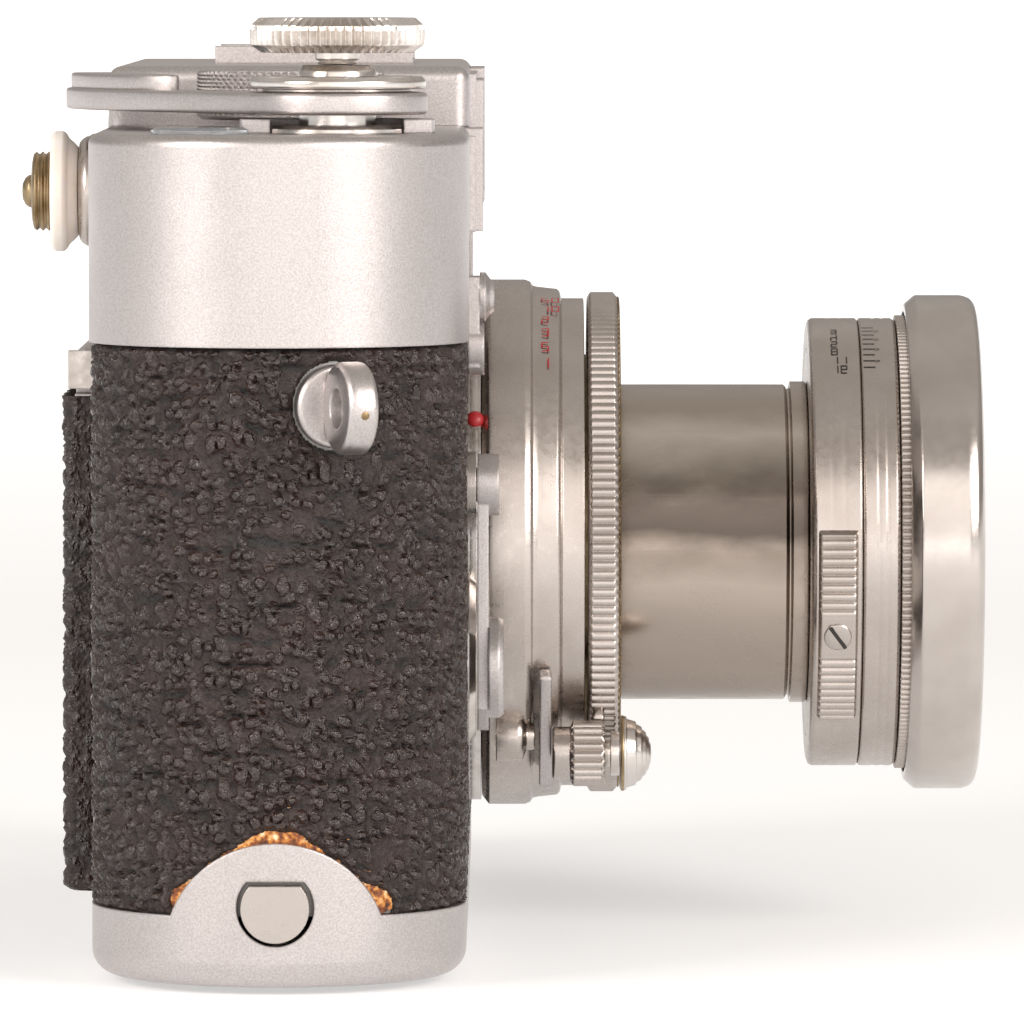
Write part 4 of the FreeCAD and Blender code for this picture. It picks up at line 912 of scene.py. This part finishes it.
def lay_marks(name, marks, surface, body, material, width):
    """Engraved strokes laid on a surface: each is a thin strip between two flat points."""
    points, faces = [], []
    for one, two in marks:
        one, two = np.array(one, float), np.array(two, float)
        along = (two - one) / max(np.linalg.norm(two - one), 1e-6)
        side = np.array([-along[1], along[0]]) * width / 2
        cuts = max(2, int(np.linalg.norm(two - one) / 0.5) + 1)
        first = len(points)
        for share in np.linspace(0, 1, cuts):
            spot = one + share * (two - one)
            points += [surface(*(spot + side)), surface(*(spot - side))]
        faces += [(first + 2 * k, first + 2 * k + 1, first + 2 * k + 3, first + 2 * k + 2)
                  for k in range(cuts - 1)]
    mesh = bpy.data.meshes.new(name)
    mesh.from_pydata((np.array(points) * MM).tolist(), [], faces)
    finished(name, mesh, material, body, (), 60)


def digits(text, at, height, turned=False):
    """Strokes of a number drawn with straight segments, starting at a flat point."""
    marks, step = [], height / 2
    for place, figure in enumerate(text):
        for segment in SEGMENTS[figure]:
            ends = [np.array(end) * [step, step] + [place * height * 0.8, 0] for end in STROKE_ENDS[segment]]
            if turned:
                ends = [np.array([-end[1], end[0]]) for end in ends]
            marks.append([end + at for end in ends])
    return marks


def on_lens(radius):
    """Flat (distance round, forward) to a point on a cylinder about the lens axis, near side."""
    def place(round_, forward):
        """The angle is the distance round over the radius, counted from the near side."""
        angle = pi - round_ / radius
        return (LENS[0] + radius * cos(angle), -forward, LENS[2] + radius * sin(angle))
    return place


def on_disc(centre, height):
    """Flat (x, y) to a point at a height over a centre."""
    return lambda x, y: (centre[0] + x, centre[1] + y, height)


def engrave():
    """Numbers and lines on the rings, the dial and the counter, laid on cylinders and discs."""
    marks = []
    for k, number in enumerate(("16", "11", "8", "5", "4", "3")):
        marks += digits(number, np.array([19.2 + 1.35 * k, 48.7]), 1.0, True)
    lay_marks("aperture_numbers", marks, on_lens(20.33), "aperture_ring", INK, 0.13)
    marks = [((19.0 + 0.95 * k, 51.5), (19.0 + 0.95 * k, 52.6 + 0.4 * (k % 2))) for k in range(9)]
    lay_marks("aperture_index_lines", marks, on_lens(20.34), "lens_tube", INK, 0.12)
    marks = []
    for k, number in enumerate(("1", "2", "3", "5", "10", "20")):
        marks += digits(number, np.array([19.5 + 2.1 * k, 22.7]), 1.15, True)
    lay_marks("depth_numbers", marks, on_lens(23.2), "lens", RED, 0.14)
    numbers = []
    for k, number in enumerate(("1", "2", "5", "10", "25", "50", "100", "200")):
        turn = radians(45 * k)
        flat = digits(number, np.array([-0.5, 5.6]), 1.1)
        numbers += [[np.array([cos(turn) * p[0] - sin(turn) * p[1], sin(turn) * p[0] + cos(turn) * p[1]])
                     for p in stroke] for stroke in flat]
    lay_marks("shutter_speeds", numbers, on_disc(DIAL, 77.31), "shutter_dial", INK, 0.14)
    ticks = [((3.3 * cos(t), 3.3 * sin(t)), (3.9 * cos(t), 3.9 * sin(t))) for t in np.arange(0, 6.2, pi / 10)]
    window = middle("counter_window") * [1, 1, 0]
    level = top_of("counter_disc") + 0.02
    lay_marks("counter_ticks", ticks, on_disc(window, level), "counter_disc", INK, 0.1)


# ---- what stands round the camera ---------------------------------------------------------


def set_stage():
    """A level white floor that glows a little more with its distance from the object."""
    paper = Finish("white_paper", "D6D6D6", 0.9)
    away = paper.add("VectorMath", "Value", paper.place, settings={"operation": "LENGTH"})
    paper.shader.inputs["Emission Color"].default_value = colour("FFFFFF")
    paper.wear(Emission_Strength=paper.add("MapRange", "Result", away, 0.4, 1.8, 0.42, 1.0))
    far, level = 40.0, -0.0006
    mesh = bpy.data.meshes.new("paper_floor")
    mesh.from_pydata([(x, y, level) for x in (-far, far) for y in (-far, far)], [], [(0, 2, 3, 1)])
    mesh.materials.append(paper.material)
    floor = bpy.data.objects.new("paper_floor", mesh)
    bpy.context.scene.collection.objects.link(floor)


def area_light(name, place, target, size, watts, shade):
    """A rectangular soft box at a place, facing a target; sizes in metres."""
    light = bpy.data.lights.new(name, "AREA")
    light.shape = "RECTANGLE"
    light.size, light.size_y = size
    light.energy = watts
    light.color = colour(shade)[:3]
    thing = bpy.data.objects.new(name, light)
    bpy.context.scene.collection.objects.link(thing)
    thing.location = place
    thing.rotation_euler = (Vector(target) - Vector(place)).to_track_quat("-Z", "Y").to_euler()


def light_and_look():
    """A studio world, three soft boxes and the eye at the camera's winding end.

    The world is white at the horizon, then grey from a little above it upwards.
    """
    world = bpy.data.worlds.new("studio")
    sky = Tree(world)
    level = sky.add("SeparateXYZ", "Z", sky.add("TexCoord", "Generated"))
    shade = sky.add("ValToRGB", "Color", level, stops=((0.0, "FFFFFF"), (0.055, "FFFFFF"), (0.1, "9A9490"),
                                                       (0.6, "C6C0BA")))
    sky.link(shade, sky.nodes["Background"].inputs["Color"])
    bpy.context.scene.world = world
    target = (-0.02, 0, 0.045)
    area_light("left_soft_box", (-0.56, 0.66, 0.42), target, (0.46, 0.42), 5.2, "FFF9F5")
    area_light("right_soft_box", (-0.62, -0.62, 0.40), target, (0.46, 0.42), 5.4, "FFF9F5")
    area_light("front_soft_box", (-1.15, 0.0, 0.38), target, (1.0, 0.8), 3.2, "FFF9F6")
    view = bpy.data.cameras.new("view")
    view.lens = 362.3
    view.sensor_width = 36
    view.clip_start, view.clip_end = 0.05, 100
    eye = bpy.data.objects.new("view", view)
    bpy.context.scene.collection.objects.link(eye)
    eye.location = (-0.937, -0.02003, 0.0878)
    eye.rotation_euler = (radians(90 - 3.12), 0, radians(-90))
    bpy.context.scene.camera = eye
    bpy.context.scene.view_settings.view_transform = "Standard"


for build in (dress_cad_nodes, cover_body, cover_door, lay_glue, make_soft_release, make_collars, make_lever,
              make_dials, make_mount, make_focus_ring, make_tube, make_head, make_grips, make_cap,
              make_lock, make_adapter, make_lugs, make_red_bead, engrave, set_stage, light_and_look):
    build()
